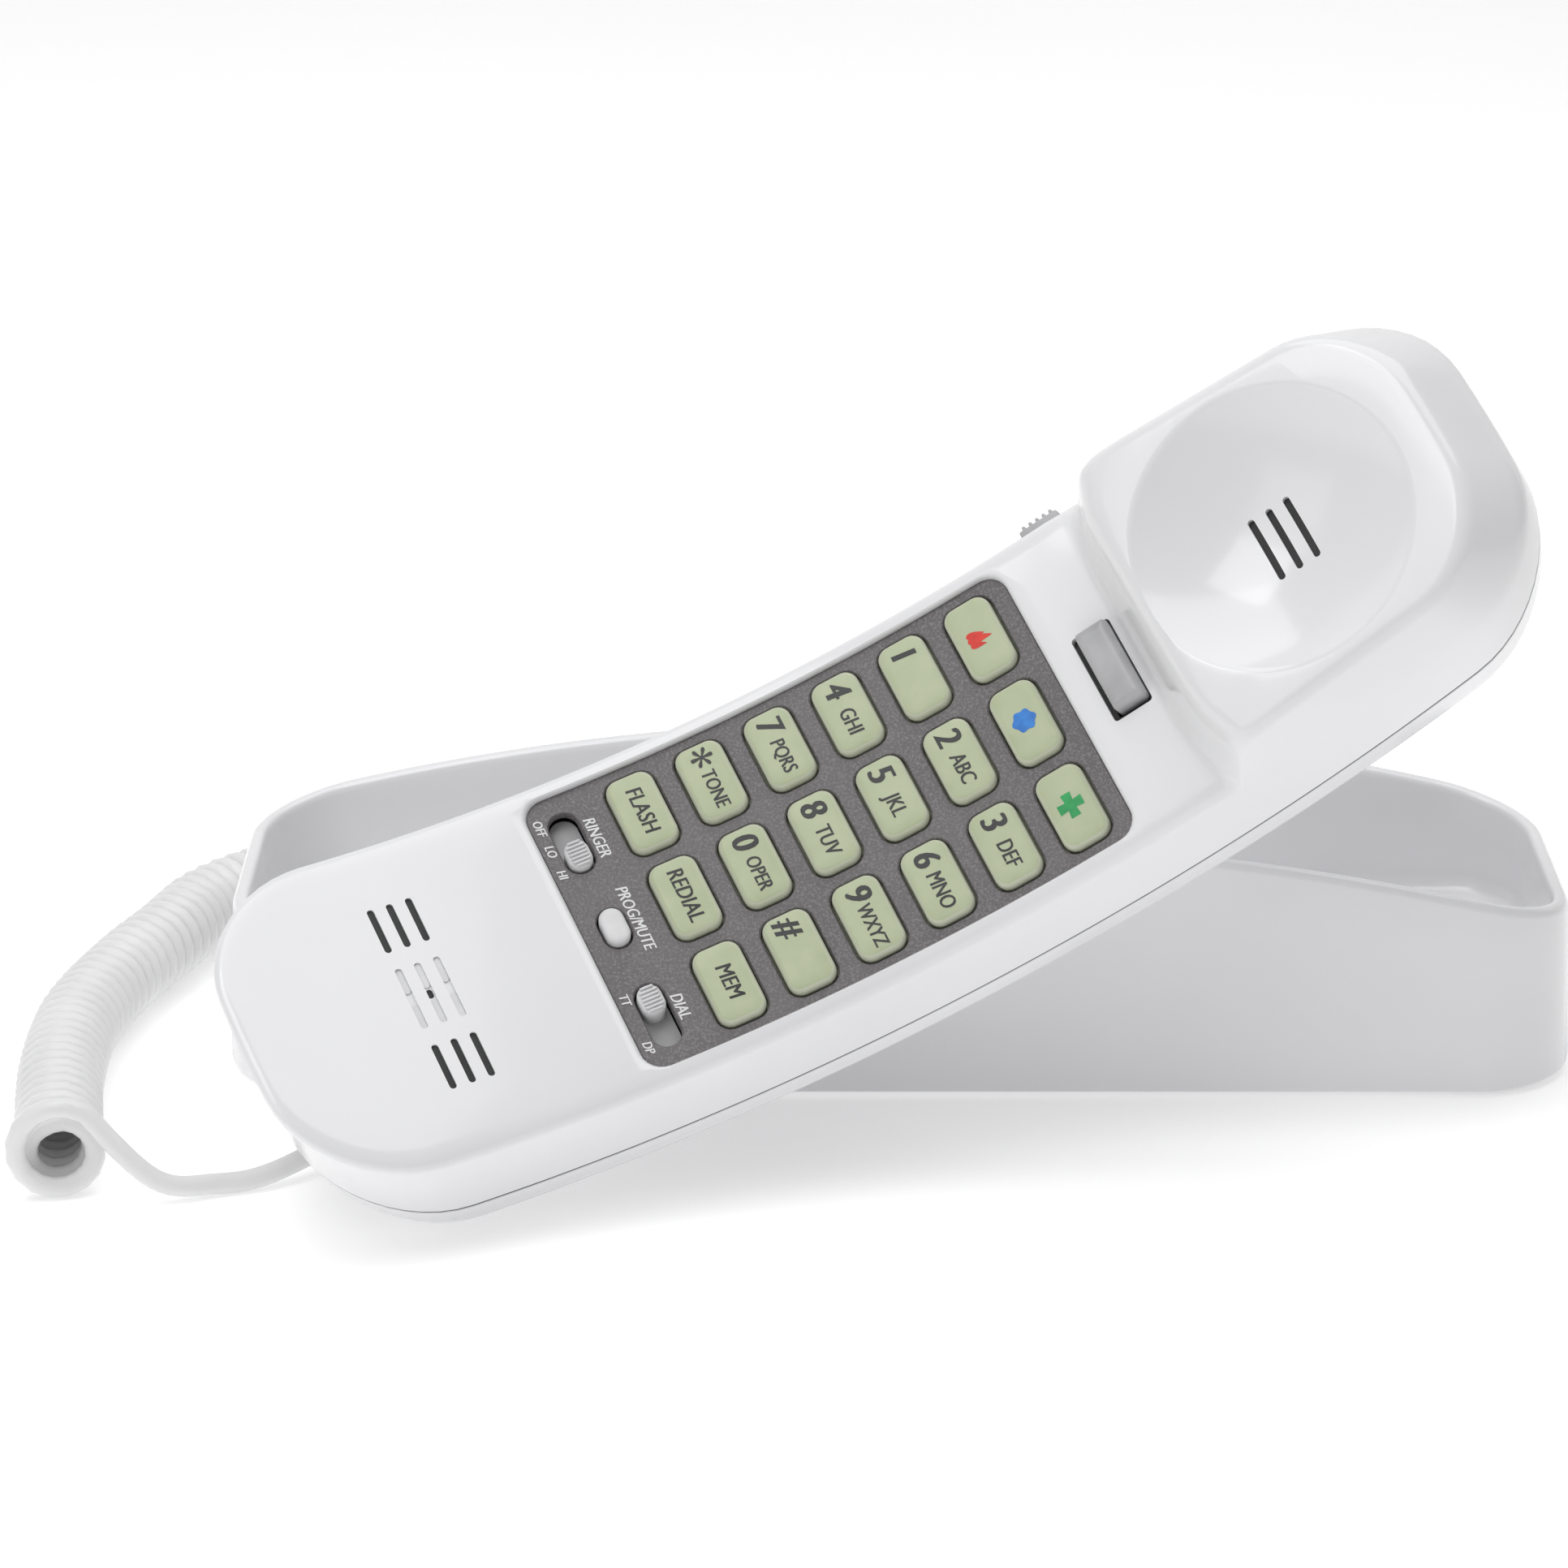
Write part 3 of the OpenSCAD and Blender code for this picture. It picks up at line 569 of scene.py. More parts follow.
base_plug_place = Matrix.Translation((12, 33.5, 11))
handset_plug_place = (HANDSET @ Matrix.Translation((0, 0, ARCH))
                      @ Matrix.Rotation(-SOCKET_ANGLE, 4, "Y") @ Matrix.Translation((0, 0, -ARCH))
                      @ Matrix.Translation((0, 0, -BACK_DEPTH))
                      @ Matrix.Rotation(math.radians(-90), 4, "X"))
plugs = cord_plug("base_plug", base_plug_place, 6.0, "base", "plug_base")
plugs += cord_plug("handset_plug", handset_plug_place, 8.0, "handset", "plug_handset")
print("plugs:", [p.name for p in plugs])

# %% [markdown]
# ## The handset's front shell
# The front shell is one glossy moulding: an arched face, rounded edges all round, and a raised
# block for the ear at one end. It could be cut from blocks with booleans, but highlights would
# show the seams. So it is one loft. Seen from the face its outline is a long rounded rectangle.
# For every point of that outline we draw a profile: up the side wall, round the edge, and in to
# the middle line. Along the way the profile changes from the plain arch to the ear block, whose
# front wall is just a steep stretch of the middle rows. The inside is a second, smaller skin.

# %% Front shell outline
MOUTH_END, EAR_END = -106.0, 108.0
HALF_WIDTH = 28.9
CORNER = 20.0
SPLIT_DEPTH = 16.0
END_BULGE = 1.6
BLOCK_TILT = math.radians(13.6)
BLOCK_SLOPE = math.tan(BLOCK_TILT)
BLOCK_START = 46.5
BLOCK_START_Z = 18.2
WALL_FOOT_X, WALL_TOP_X = 41.4, 49.8
PLAIN_STEPS, BLOCK_STEPS, CORNER_STEPS = 52, 16, 12


def block_z(x):
    """Height of the ear block's flat top at plan place x."""
    return BLOCK_START_Z + (x - BLOCK_START) * BLOCK_SLOPE


def face_z(x):
    """Height of the arched face at plan place x."""
    return arch_point(x, 0).z


# the block's front wall: plan place, height and how much of a block it is
WALL = [(WALL_FOOT_X, face_z(WALL_FOOT_X), 0.0), (42.6, face_z(42.6), 0.0),
        (43.3, face_z(43.3) + 0.04, 0.0), (43.8, face_z(43.8) + 0.25, 0.04),
        (44.15, face_z(44.15) + 0.8, 0.1), (44.5, 7.3, 0.2), (44.9, 9.6, 0.4), (45.3, 11.9, 0.6),
        (45.7, 14.0, 0.8), (46.1, 15.7, 0.9), (46.7, 17.0, 1.0), (47.5, 17.8, 1.0),
        (48.5, block_z(48.5) - 0.12, 1.0), (WALL_TOP_X, block_z(WALL_TOP_X), 1.0)]


def side_stations():
    """Places along the straight sides, close together at the block's front wall."""
    first, last = MOUTH_END + CORNER, EAR_END - CORNER
    before = [first + (WALL_FOOT_X - first) * k / PLAIN_STEPS for k in range(PLAIN_STEPS)]
    after = [WALL_TOP_X + (last - WALL_TOP_X) * k / BLOCK_STEPS for k in range(1, BLOCK_STEPS + 1)]
    return [(x, face_z(x), 0.0) for x in before] + WALL + [(x, block_z(x), 1.0) for x in after]


def outline_stations():
    """Around the handset: (x, y, outward direction, place on the middle line, height, share)."""
    sides = side_stations()
    stations = [(x, HALF_WIDTH, 0.0, 1.0, x, z, w) for x, z, w in sides]
    for centre, first, sign in ((EAR_END - CORNER, 90, 1), (MOUTH_END + CORNER, 270, -1)):
        if sign < 0:
            stations += [(x, -HALF_WIDTH, 0.0, -1.0, x, z, w) for x, z, w in reversed(sides)]
        # round a corner, straight along the end, and round the other corner
        for k in range(1, 3 * CORNER_STEPS):
            if k <= CORNER_STEPS:
                angle, flat = math.radians(first - 90 * k / CORNER_STEPS), 0.0
            elif k < 2 * CORNER_STEPS:
                angle, flat = math.radians(first - 90), (k - CORNER_STEPS) / CORNER_STEPS
            else:
                turned = 90 * (k - 2 * CORNER_STEPS) / CORNER_STEPS
                angle, flat = math.radians(first - 90 - turned), 1.0
            y_centre = sign * (HALF_WIDTH - CORNER) * (1 - 2 * flat)
            x = centre + CORNER * math.cos(angle)
            y = y_centre + CORNER * math.sin(angle)
            x -= sign * END_BULGE * (y / HALF_WIDTH) ** 2 * abs(x - centre) / CORNER
            block_share = 1.0 if sign > 0 else 0.0
            z = block_z(x) if sign > 0 else face_z(x)
            stations.append((x, y, math.cos(angle), math.sin(angle), centre, z, block_share))
    return stations


stations = outline_stations()
print("outline points:", len(stations))

# %% [markdown]
# ## Profiles of the front shell
# Each profile runs through four corner points, and two of the corners are rounded by a short
# curve: the soft edge of the face, and the turn where the side wall leans in. On the ear block
# the upper corner lies further in, and at its far end much further, which gives that end its
# broad sloping rim.

# %% Front shell skin
EDGE_ROUND = 3.6
BLOCK_ROUND = 2.2
TURN_ROUND = 2.2
EDGE_STEPS, TURN_STEPS = 7, 3
WALL_SHIFT = 3.2
RIM_RUN = 52.0
WAIST_RUN = 70.0
HOLLOW_RUN = (50.0, 30.0)


def rounded(before, corner, after, reach, steps):
    """Points of a short curve that cuts a corner."""
    start, end = [corner + way.normalized() * min(reach, way.length * 0.48)
                  for way in (before - corner, after - corner)]
    return [start.lerp(corner, t).lerp(corner.lerp(end, t), t)
            for t in (k / steps for k in range(steps + 1))]


def share_of_run(x, start, length):
    """0 before the start of a run along the handset, 1 past its end."""
    return min(max((x - start) / length, 0.0), 1.0)


def crest_of(x, y, nx, ny, z, share):
    """The upper corner of the side wall at an outline point."""
    plain = arch_point(x - 1.15 * nx, y - 1.15 * ny)
    along = share_of_run(x, RIM_RUN, EAR_END - RIM_RUN)
    cx = x - 10.0 * along ** 1.4 - 0.4 * nx
    cy = y * (1 - (1.9 + 3.1 * along) / HALF_WIDTH)
    raised = Vector((cx, cy, block_z(cx) if along > 0 else z))
    point = plain.lerp(raised, share)
    if 0 < share < 1 or WALL_FOOT_X < x < WALL_TOP_X:
        point.z = z
    return point


def wall_slant(x, y):
    """How far the block's front wall falls back near its two corners."""
    fade = 1.0 if x <= 47.5 else max(0.0, 1 - (x - 47.5) / 9)
    rise = min(1.0, max(0.0, (x - 42.0) / 2.0))
    return WALL_SHIFT * max(0.0, (abs(y) - 15) / 12) ** 2 * fade * rise


def outer_profile(station):
    """From the middle line to the parting line, over the face and the edge."""
    x, y, nx, ny, middle, z, share = station
    foot = arch_point(x, y, SPLIT_DEPTH)
    foot_in = arch_point(x - 0.25 * nx, y - 0.25 * ny, SPLIT_DEPTH)
    along = share_of_run(x, WAIST_RUN, EAR_END - WAIST_RUN)
    lean = 0.95 + 0.5 * along
    waist = arch_point(x - lean * nx, y - lean * ny, 4.5 + 3.0 * along)
    crest = crest_of(x, y, nx, ny, z, share)
    if along > 0:
        middle = middle - 4.0 * along
    centre = Vector((middle, 0, block_z(middle) if share == 1 else z))
    inner = crest.lerp(centre, 0.3)
    inner.z = top_height(inner.x, z, share)
    edge = rounded(waist, crest, inner, EDGE_ROUND if share < 0.5 else BLOCK_ROUND, EDGE_STEPS)
    turn = rounded(foot, waist, crest, TURN_ROUND, TURN_STEPS)
    rows = [inner.lerp(centre, t) for t in (1.0, 0.85, 0.7, 0.5, 0.25, 0.0)]
    for row in rows:
        row.z = top_height(row.x, z, share)
    profile = rows + edge[::-1] + turn[::-1] + [foot.lerp(waist, 0.08), foot, foot_in]
    for point in profile[:-3]:
        if 42.0 < x < 56.5:
            point.x += wall_slant(x, point.y)
    return profile


def top_height(x, z, share):
    """Height of the top surface at plan place x, on a profile of that share of block."""
    if share >= 1 and abs(x) > WALL_TOP_X:
        return block_z(x)
    if share == 0 and x < WALL_FOOT_X:
        return face_z(x)
    return z


def hollow_depth(x):
    """How deep the inside skin lies under the arch: deeper below the ear block's dish."""
    return 2.0 + 5.0 * share_of_run(x, *HOLLOW_RUN)


def inner_profile(station):
    """The inside skin, from the parting line back to the middle line."""
    x, y, nx, ny, middle = station[:5]
    deep = hollow_depth(x)
    lip = arch_point(x - 2.0 * nx, y - 2.0 * ny, SPLIT_DEPTH)
    wall = arch_point(x - 3.2 * nx, y - 3.2 * ny, deep + 3)
    shoulder = arch_point(x - 6.5 * nx, y - 6.5 * ny, deep)
    rows = []
    for t in (0.0, 0.5, 1.0):
        px, py = shoulder.x + (middle - shoulder.x) * t, shoulder.y * (1 - t)
        rows.append(arch_point(px, py, hollow_depth(px)))
    return [lip, wall] + rows


def rings_of(profiles):
    """Rings round the handset, one for each point of the profiles."""
    return [list(ring) for ring in zip(*profiles)]


front_rings = rings_of([outer_profile(s) + inner_profile(s) for s in stations])
front = mesh_piece("front_shell_skin", *loft(front_rings), HANDSET)
print("front shell faces:", len(front.data.polygons))

# %% [markdown]
# ## Openings of the front shell
# The keypad window, the ear dish, the sound slots and the holes for the controls are cut with
# booleans. A boolean leaves a knife-sharp edge, and a moulding never has one, so the cutting
# shapes flare out where they leave the surface and cut the rounding as well.

# %% Cutters


def grid_cutter(name, x0, x1, half, corner, depths):
    """A large cutter under the arch: a long rounded loop with many stations along its sides."""
    rings = []
    turn = [math.radians(90 * k / 6) for k in range(1, 6)]
    for depth, wider in depths:
        c = corner + wider
        a, b, h = x0 - wider, x1 + wider, half + wider
        side = [a + c + (b - a - 2 * c) * k / 40 for k in range(41)]
        loop = [(x, h) for x in side]
        loop += [(b - c + c * math.sin(t), h - c + c * math.cos(t)) for t in turn]
        loop += [(b, h - c), (b, c - h)]
        loop += [(b - c + c * math.cos(t), c - h - c * math.sin(t)) for t in turn]
        loop += [(x, -h) for x in reversed(side)]
        loop += [(a + c - c * math.sin(t), c - h - c * math.cos(t)) for t in turn]
        loop += [(a, c - h), (a, h - c)]
        loop += [(a + c - c * math.cos(t), h - c + c * math.sin(t)) for t in turn]
        rings.append([arch_point(x, y, depth) for x, y in loop])
    middle = [[Vector((p.x, 0, p.z)) for p in ring] for ring in (rings[0], rings[-1])]
    points, faces = loft([middle[0]] + rings + [middle[1]])
    return mesh_piece(name, points, faces, HANDSET)


PANEL_X = (-52.5, 31.3)
PANEL_HALF = 25.0
FLARE = [(-2.5, 0.75), (-0.05, 0.62), (0.08, 0.36), (0.28, 0.14), (0.62, 0.0), (7.0, 0.0)]
PANEL_CORNER = 3.5
window = grid_cutter("window", *PANEL_X, PANEL_HALF, PANEL_CORNER, FLARE)

DISH_X = 69.6
DISH_RADIUS = 22.8
DISH_DEPTH = 7.5
EAR_PLACE = (HANDSET @ Matrix.Translation((DISH_X, 0, block_z(DISH_X)))
             @ Matrix.Rotation(-BLOCK_TILT, 4, "Y"))


def dish_cutter():
    """A bowl whose rim is flared to leave a soft edge."""
    ball = (DISH_RADIUS ** 2 + DISH_DEPTH ** 2) / (2 * DISH_DEPTH)
    rows = [(r, ball - DISH_DEPTH - math.sqrt(ball * ball - r * r))
            for r in (DISH_RADIUS * math.sin(math.pi / 2 * k / 18) * 0.972 for k in range(1, 19))]
    rim_r, rim_z = rows[-1]
    rows += [(rim_r + 0.35, rim_z + 0.21), (rim_r + 0.6, rim_z + 0.33),
             (rim_r + 0.95, rim_z + 0.44), (rim_r + 1.7, 0.1), (rim_r + 1.7, 6.0)]
    sides = 96
    rings = [[(r * math.cos(2 * math.pi * k / sides), r * math.sin(2 * math.pi * k / sides), z)
              for k in range(sides)] for r, z in rows]
    return mesh_piece("dish_bowl", *loft(rings, True, True), EAR_PLACE)


def slot_cutter(place, x, y, length, width, top, bottom):
    """A narrow slot with round ends, across the handset."""
    rings = [[(px, py, z) for px, py in rounded_loop(x - width / 2, x + width / 2, length / 2,
                                                      width / 2 - 0.02, 4)] for z in (bottom, top)]
    rings = [[(px, py + y, z) for px, py, z in ring] for ring in rings]
    return mesh_piece("slot", *loft(rings, True, True), place)


SLOT_STEP = 3.2
SLOT_WIDTH = 1.15
MOUTH_X = -76.5
MOUTH_PLACE = on_arch(MOUTH_X)
SLOT_GROUP_Y = 12.5
HOOK_X = 39.6
HOOK_SHIFT = Matrix.Translation((-0.35, -0.35, 0))
VOLUME_X = 40.0
ear_slots = [slot_cutter(EAR_PLACE, k * SLOT_STEP, 0, 11.3, SLOT_WIDTH, 3, -DISH_DEPTH - 2.2)
             for k in (-1, 0, 1)]
mouth_slots = [slot_cutter(MOUTH_PLACE, k * SLOT_STEP, side * SLOT_GROUP_Y, 8, SLOT_WIDTH, 3, -1.6)
               for k in (-1, 0, 1) for side in (-1, 1)]
blind_slots = [slot_cutter(MOUTH_PLACE, k * SLOT_STEP, 0, 11, SLOT_WIDTH, 3, -0.55)
               for k in (-1, 0, 1)]
sound_hole = [slot_cutter(MOUTH_PLACE, 0, 0, 1.6, 1.0, 3, -1.7)]
hook_stack = pill_stack(6.9, 15.7, 0.6, [(-5, 0), (6, 0)])
hook_hole = mesh_piece("hook_hole", *loft(hook_stack, True, True), on_arch(HOOK_X) @ HOOK_SHIFT)
volume_box = box_points(-6.5, 6.5, HALF_WIDTH - 4, HALF_WIDTH + 2, -6.6, -2.4)
volume_hole = mesh_piece("volume_hole", *volume_box, on_arch(VOLUME_X))
combine(front, [window, dish_cutter(), hook_hole, volume_hole] + ear_slots + mouth_slots
        + blind_slots + sound_hole)
front.name = "handset_front"
settle(front, shell_white, "handset")
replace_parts(front, "front_shell")
print("front shell after cutting:", len(front.data.polygons), "faces")

# %% [markdown]
# ## The back shell
# The back shell is the shallow half that closes the handset. The same outline serves, with a
# profile that goes down from the parting line, round a generous edge and across the back, then
# up again inside. A narrow gap is left between the halves, with a dark band just inside it: a
# painted shadow for the shade in the gap. That thin dark line is what tells the eye that there
# are two mouldings.

# %% Back shell
PARTING_GAP = 0.55
BACK_ROUND = 6.2


def back_profile(station):
    """Outside from the middle line to the parting line, then the inside."""
    x, y, nx, ny, middle = station[:5]
    corner = arch_point(x - 0.3 * nx, y - 0.3 * ny, BACK_DEPTH)
    rim = arch_point(x, y, SPLIT_DEPTH + PARTING_GAP + 0.25)
    rim_top = arch_point(x - 0.25 * nx, y - 0.25 * ny, SPLIT_DEPTH + PARTING_GAP)
    inner = arch_point(x - 14 * nx, y - 14 * ny, BACK_DEPTH)
    centre = arch_point(middle, 0, BACK_DEPTH)
    edge = rounded(rim, corner, inner, BACK_ROUND, 8)
    rows = []
    for t in (1.0, 0.66, 0.33, 0.0):
        px, py = edge[-1].x + (centre.x - edge[-1].x) * t, edge[-1].y * (1 - t)
        rows.append(arch_point(px, py, BACK_DEPTH))
    lip = arch_point(x - 2 * nx, y - 2 * ny, SPLIT_DEPTH + PARTING_GAP)
    wall = arch_point(x - 2.2 * nx, y - 2.2 * ny, BACK_DEPTH - 6)
    shoulder = arch_point(x - 7 * nx, y - 7 * ny, BACK_DEPTH - 2)
    middle_in = arch_point(middle, 0, BACK_DEPTH - 2)
    return rows + edge[::-1] + [rim, rim_top, lip, wall, shoulder, middle_in]


back_rings = rings_of([back_profile(s) for s in stations])
back = mesh_piece("handset_back", *loft(back_rings), HANDSET)
socket_hole = mesh_piece("socket_hole", *box_points(-5, 5, -1, 4.5, -5.5, 5.5), handset_plug_place
                         @ Matrix.Rotation(math.radians(180), 4, "X"))
combine(back, [socket_hole])
settle(back, shell_white, "handset")
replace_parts(back, "back_shell")
BACK_TOP = SPLIT_DEPTH + PARTING_GAP
# painted shade: a black band in the gap between the halves, where that gap lies in shadow
SEAM_OUT, SEAM_IN = 0.08, 1.8
seam_band = ((SEAM_OUT, SPLIT_DEPTH), (SEAM_OUT, BACK_TOP), (SEAM_IN, BACK_TOP),
             (SEAM_IN, SPLIT_DEPTH), (SEAM_OUT, SPLIT_DEPTH))
seam_rings = [[arch_point(x - inset * nx, y - inset * ny, depth) for x, y, nx, ny, *_ in stations]
              for inset, depth in seam_band]
seam = mesh_piece("seam_shadow", *loft(seam_rings), HANDSET)
settle(seam, switch_black, "handset")
print("back shell faces:", len(back.data.polygons))

# %% [markdown]
# ## The base
# The base is a boat: a rounded tray whose rim is arched, so that it stands highest at the
# middle. It is a loft again. Going round the outline, the rim's height at each point follows
# the arch, and the rings between the foot and the rim share that rise.

# %% Base shell
BASE_LENGTH, BASE_WIDTH = 222.0, 67.0
BASE_CORNER = 18.0
BASE_WALL = 2.6
RIM_TOP, RIM_ARCH = 44.0, 417.0
DECK_TOP = 14.0
DRAFT = 0.9


def rim_z(x):
    """Height of the rim at plan place x."""
    return RIM_TOP - RIM_ARCH + math.sqrt(RIM_ARCH ** 2 - x * x)


def base_loop(inset):
    """The base's outline, inset on all sides, with many points along its long sides."""
    half_long, half_wide = BASE_LENGTH / 2 - inset, BASE_WIDTH / 2 - inset
    corner = max(BASE_CORNER - inset, 2.0)
    a, b = half_long - corner, half_wide - corner
    loop = [(-a + 2 * a * k / 40, half_wide) for k in range(40)]
    loop += [(a + corner * math.sin(t), b + corner * math.cos(t)) for t in quarter_turn()]
    loop += [(half_long, b - 2 * b * k / 10) for k in range(10)]
    loop += [(a + corner * math.cos(t), -b - corner * math.sin(t)) for t in quarter_turn()]
    loop += [(a - 2 * a * k / 40, -half_wide) for k in range(40)]
    loop += [(-a - corner * math.sin(t), -b - corner * math.cos(t)) for t in quarter_turn()]
    loop += [(-half_long, -b + 2 * b * k / 10) for k in range(10)]
    loop += [(-a - corner * math.cos(t), b + corner * math.sin(t)) for t in quarter_turn()]
    return loop


def quarter_turn():
    """Angles of a quarter turn, without its last."""
    return [math.radians(90 * k / 10) for k in range(10)]


def base_ring(inset, height):
    """A ring of the base: height is a function of x and y."""
    return [(x, y, height(x, y)) for x, y in base_loop(inset)]


def spine_ring(height, reach=75.0):
    """The base's outline pressed onto its middle line."""
    return [(max(-reach, min(reach, x)), 0.0, height) for x, y in base_loop(BASE_WALL)]


def wall_height(share):
    """A height function: this share of the way from the foot to the rim."""
    return lambda x, y: 1.0 + (rim_z(x) - 1.0) * share


def rim_drop(drop):
    """A height function: this far below the rim."""
    return lambda x, y: rim_z(x) - drop


def level(z):
    """A height function: the same everywhere."""
    return lambda x, y: z


deck_under = DECK_TOP - 2.5
inside = DRAFT + BASE_WALL + 0.2
base_rings = [
    spine_ring(deck_under), base_ring(BASE_WALL + 3, level(deck_under)),
    base_ring(BASE_WALL, level(deck_under - 2)), base_ring(BASE_WALL, level(1.3)),
    base_ring(BASE_WALL - 0.3, level(1.0)), base_ring(0.7, level(1.0)), base_ring(0.2, level(1.2)),
    base_ring(0.0, level(1.8)), base_ring(DRAFT * 0.35, wall_height(0.35)),
    base_ring(DRAFT * 0.7, wall_height(0.7)), base_ring(DRAFT, rim_drop(1.5)),
    base_ring(DRAFT + 0.12, rim_drop(0.85)), base_ring(DRAFT + 0.4, rim_drop(0.35)),
    base_ring(DRAFT + 0.85, rim_drop(0.05)), base_ring(DRAFT + 1.4, rim_drop(0.0)),
    base_ring(inside - 0.9, rim_drop(0.08)), base_ring(inside - 0.4, rim_drop(0.4)),
    base_ring(inside - 0.1, rim_drop(0.9)), base_ring(inside, rim_drop(1.6)),
    base_ring(inside + 0.1, rim_drop(7)), base_ring(inside + 0.3, level(DECK_TOP + 3)),
    base_ring(inside + 0.9, level(DECK_TOP + 1.1)), base_ring(inside + 2.0, level(DECK_TOP + 0.25)),
    base_ring(inside + 3.2, level(DECK_TOP)), spine_ring(DECK_TOP)]
base = mesh_piece("base_tray", *loft(base_rings))


def soft_block(name, x_mid, y_mid, length, width, corner, z0, z1, soft=1.2, steps=6):
    """A rounded block on the deck with a soft top edge and a small foot fillet."""
    levels = [(z0, 0.0), (z1 - soft, 0.0)]
    levels += [(z1 - soft + soft * math.sin(t), soft * (1 - math.cos(t)))
               for t in (math.radians(90 * k / 5) for k in range(1, 6))]
    rings = [[(x + x_mid, y + y_mid, z) for x, y, z in ring]
             for ring in pill_stack(length, width, corner, levels, steps)]
    return mesh_piece(name, *loft(rings, True, True))


hump = soft_block("hump", -8, 0, 76, BASE_WIDTH - 2 * BASE_WALL - 0.6, 3, DECK_TOP - 1, 24, 2.5)
ear_boss = soft_block("ear_boss", 70, 0, 32, 32, 15.9, DECK_TOP - 1, 20, 2.0, 16)
hook_post = soft_block("hook_post", 40, 0, 5, 12, 1.2, DECK_TOP - 1, 37, 1.0)
combine(base, [hump, ear_boss, hook_post], "UNION")
socket_holes = [mesh_piece("socket_hole", *box_points(x - 6.8, x + 6.8, 28, 36, 5.2, 16.8))
                for x in (-30, 12)]
combine(base, socket_holes)
settle(base, shell_white, "base")
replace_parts(base, "base_wall_near", "base_wall_far", "base_end_mouth", "base_end_ear", "base_deck")
print("base faces:", len(base.data.polygons))

# %% [markdown]
# ## The keypad panel
# The grey panel lies a little below the face and follows its arch. It is a thin arched plate
# with a hole for each key and slot. The holes' edges are flared like the window's.

# %% Keypad panel
ROW_PITCH, COLUMN_PITCH = 11.9, 16.2
KEY_LENGTH, KEY_WIDTH = 13.4, 8.0
CONTROL_X = -47.2
KEY_PLAY = 0.6
PANEL_DROP = 1.2
PANEL_THICK = 1.55


def row_x(row):
    """Plan place of a key row; rows are counted from the middle, towards the earpiece."""
    return ARCH * math.sin(row * ROW_PITCH / ARCH)


def rounded_block(name, place, length, width, corner, levels, steps=6):
    """A rounded block square to the face at a place; its length runs along the handset."""
    rings = pill_stack(length, width, corner, levels, steps)
    return mesh_piece(name, *loft(rings, True, True), place)


def shifted(place, y):
    """A place moved across the handset."""
    return place @ Matrix.Translation((0, y, 0))


panel = grid_cutter("keypad_plate", PANEL_X[0] + 0.1, PANEL_X[1] - 0.1, PANEL_HALF - 0.1,
                    PANEL_CORNER - 0.1, [(PANEL_DROP, 0.0), (PANEL_DROP + PANEL_THICK, 0.0)])
rim = [(-6, 0.0), (-PANEL_DROP - 0.5, 0.0), (-PANEL_DROP - 0.15, -0.08),
       (-PANEL_DROP + 0.05, -0.3), (2, -0.6)]
holes = [rounded_block("key_hole", shifted(on_arch(row_x(row)), col * COLUMN_PITCH),
                      KEY_WIDTH + KEY_PLAY, KEY_LENGTH + KEY_PLAY, 2.5, rim)
         for row in range(-3, 3) for col in (-1, 0, 1)]
control_place = on_arch(CONTROL_X)
holes += [rounded_block("knob_slot", shifted(control_place, side * COLUMN_PITCH),
                       4.8, 11.0, 2.35, rim) for side in (-1, 1)]
holes.append(rounded_block("program_hole", control_place, 4.6, 7.0, 2.25, rim))
combine(panel, holes)
settle(panel, panel_grey, "handset")
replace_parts(panel, "keypad_panel")
print("panel faces:", len(panel.data.polygons))

# %% [markdown]
# ## Lettering
# Legends are printed on the keys. A text object is the natural start, because Blender knows the
# shapes of the letters. It is then turned into a mesh, so that every point can be laid on the
# slightly domed key and the print can sink with it when the key is pressed.

# %% Lettering helpers
INK_DEPTH = 0.03
INK_STEP = 0.004


def letters(text, size, slant, squeeze):
    """Flat lettering as (points, faces), centred, reading along x, in millimetres."""
    curve = bpy.data.curves.new("letters", "FONT")
    curve.body = text
    curve.size = size
    curve.shear = slant
    curve.align_x = "CENTER"
    curve.align_y = "CENTER"
    curve.resolution_u = 3
    maker = bpy.data.objects.new("letters", curve)
    mesh = bpy.data.meshes.new_from_object(maker)
    points = [Vector((v.co.x * squeeze, v.co.y, 0)) for v in mesh.vertices]
    faces = [tuple(p.vertices) for p in mesh.polygons]
    bpy.data.objects.remove(maker)
    bpy.data.curves.remove(curve)
    bpy.data.meshes.remove(mesh)
    return points, faces


def printed(name, flat, place, at, height, material, body):
    """Prints flat lettering at a spot: text runs along -y of the place, its top towards +x."""
    points, faces = flat
    laid = []
    for p in points:
        x, y = at[0] + p.y, at[1] - p.x
        laid.append((x, y, height(x, y) + INK_DEPTH + p.z))
    settle(mesh_piece(name, laid, faces, place), material, body)


def struck(flat, shift):
    """Lettering made bolder, as by printing it again a little to each side."""
    lift = Vector((0, 0, INK_STEP))
    return spread_faces([flat] + [([p + Vector((dx, 0, 0)) + lift * k for p in flat[0]], flat[1])
                                  for k, dx in ((1, -shift), (2, shift))])


def spread_faces(parts):
    """Several (points, faces) lists as one."""
    points, faces = [], []
    for more, polygons in parts:
        start = len(points)
        points += more
        faces += [tuple(start + k for k in polygon) for polygon in polygons]
    return points, faces


def moved(flat, dx, dy):
    """Lettering moved on its sheet."""
    return [p + Vector((dx, dy, 0)) for p in flat[0]], flat[1]


# %% [markdown]
# ## The keys
# Eighteen keys of pale green plastic stand a little proud of the panel. Each is a rounded block
# with a gently domed top and a soft edge. Since each key moves on its own, each is its own
# piece on its own body, made by one loop.

# %% Keys
KEY_TOP = 0.3
DOME = 0.22
KEY_CORNER = 2.2
KEY_ROUND = 0.75
KEY_EDGE = 0.95
SKIRT_TOP, SKIRT_FOOT = -3.4, -4.8


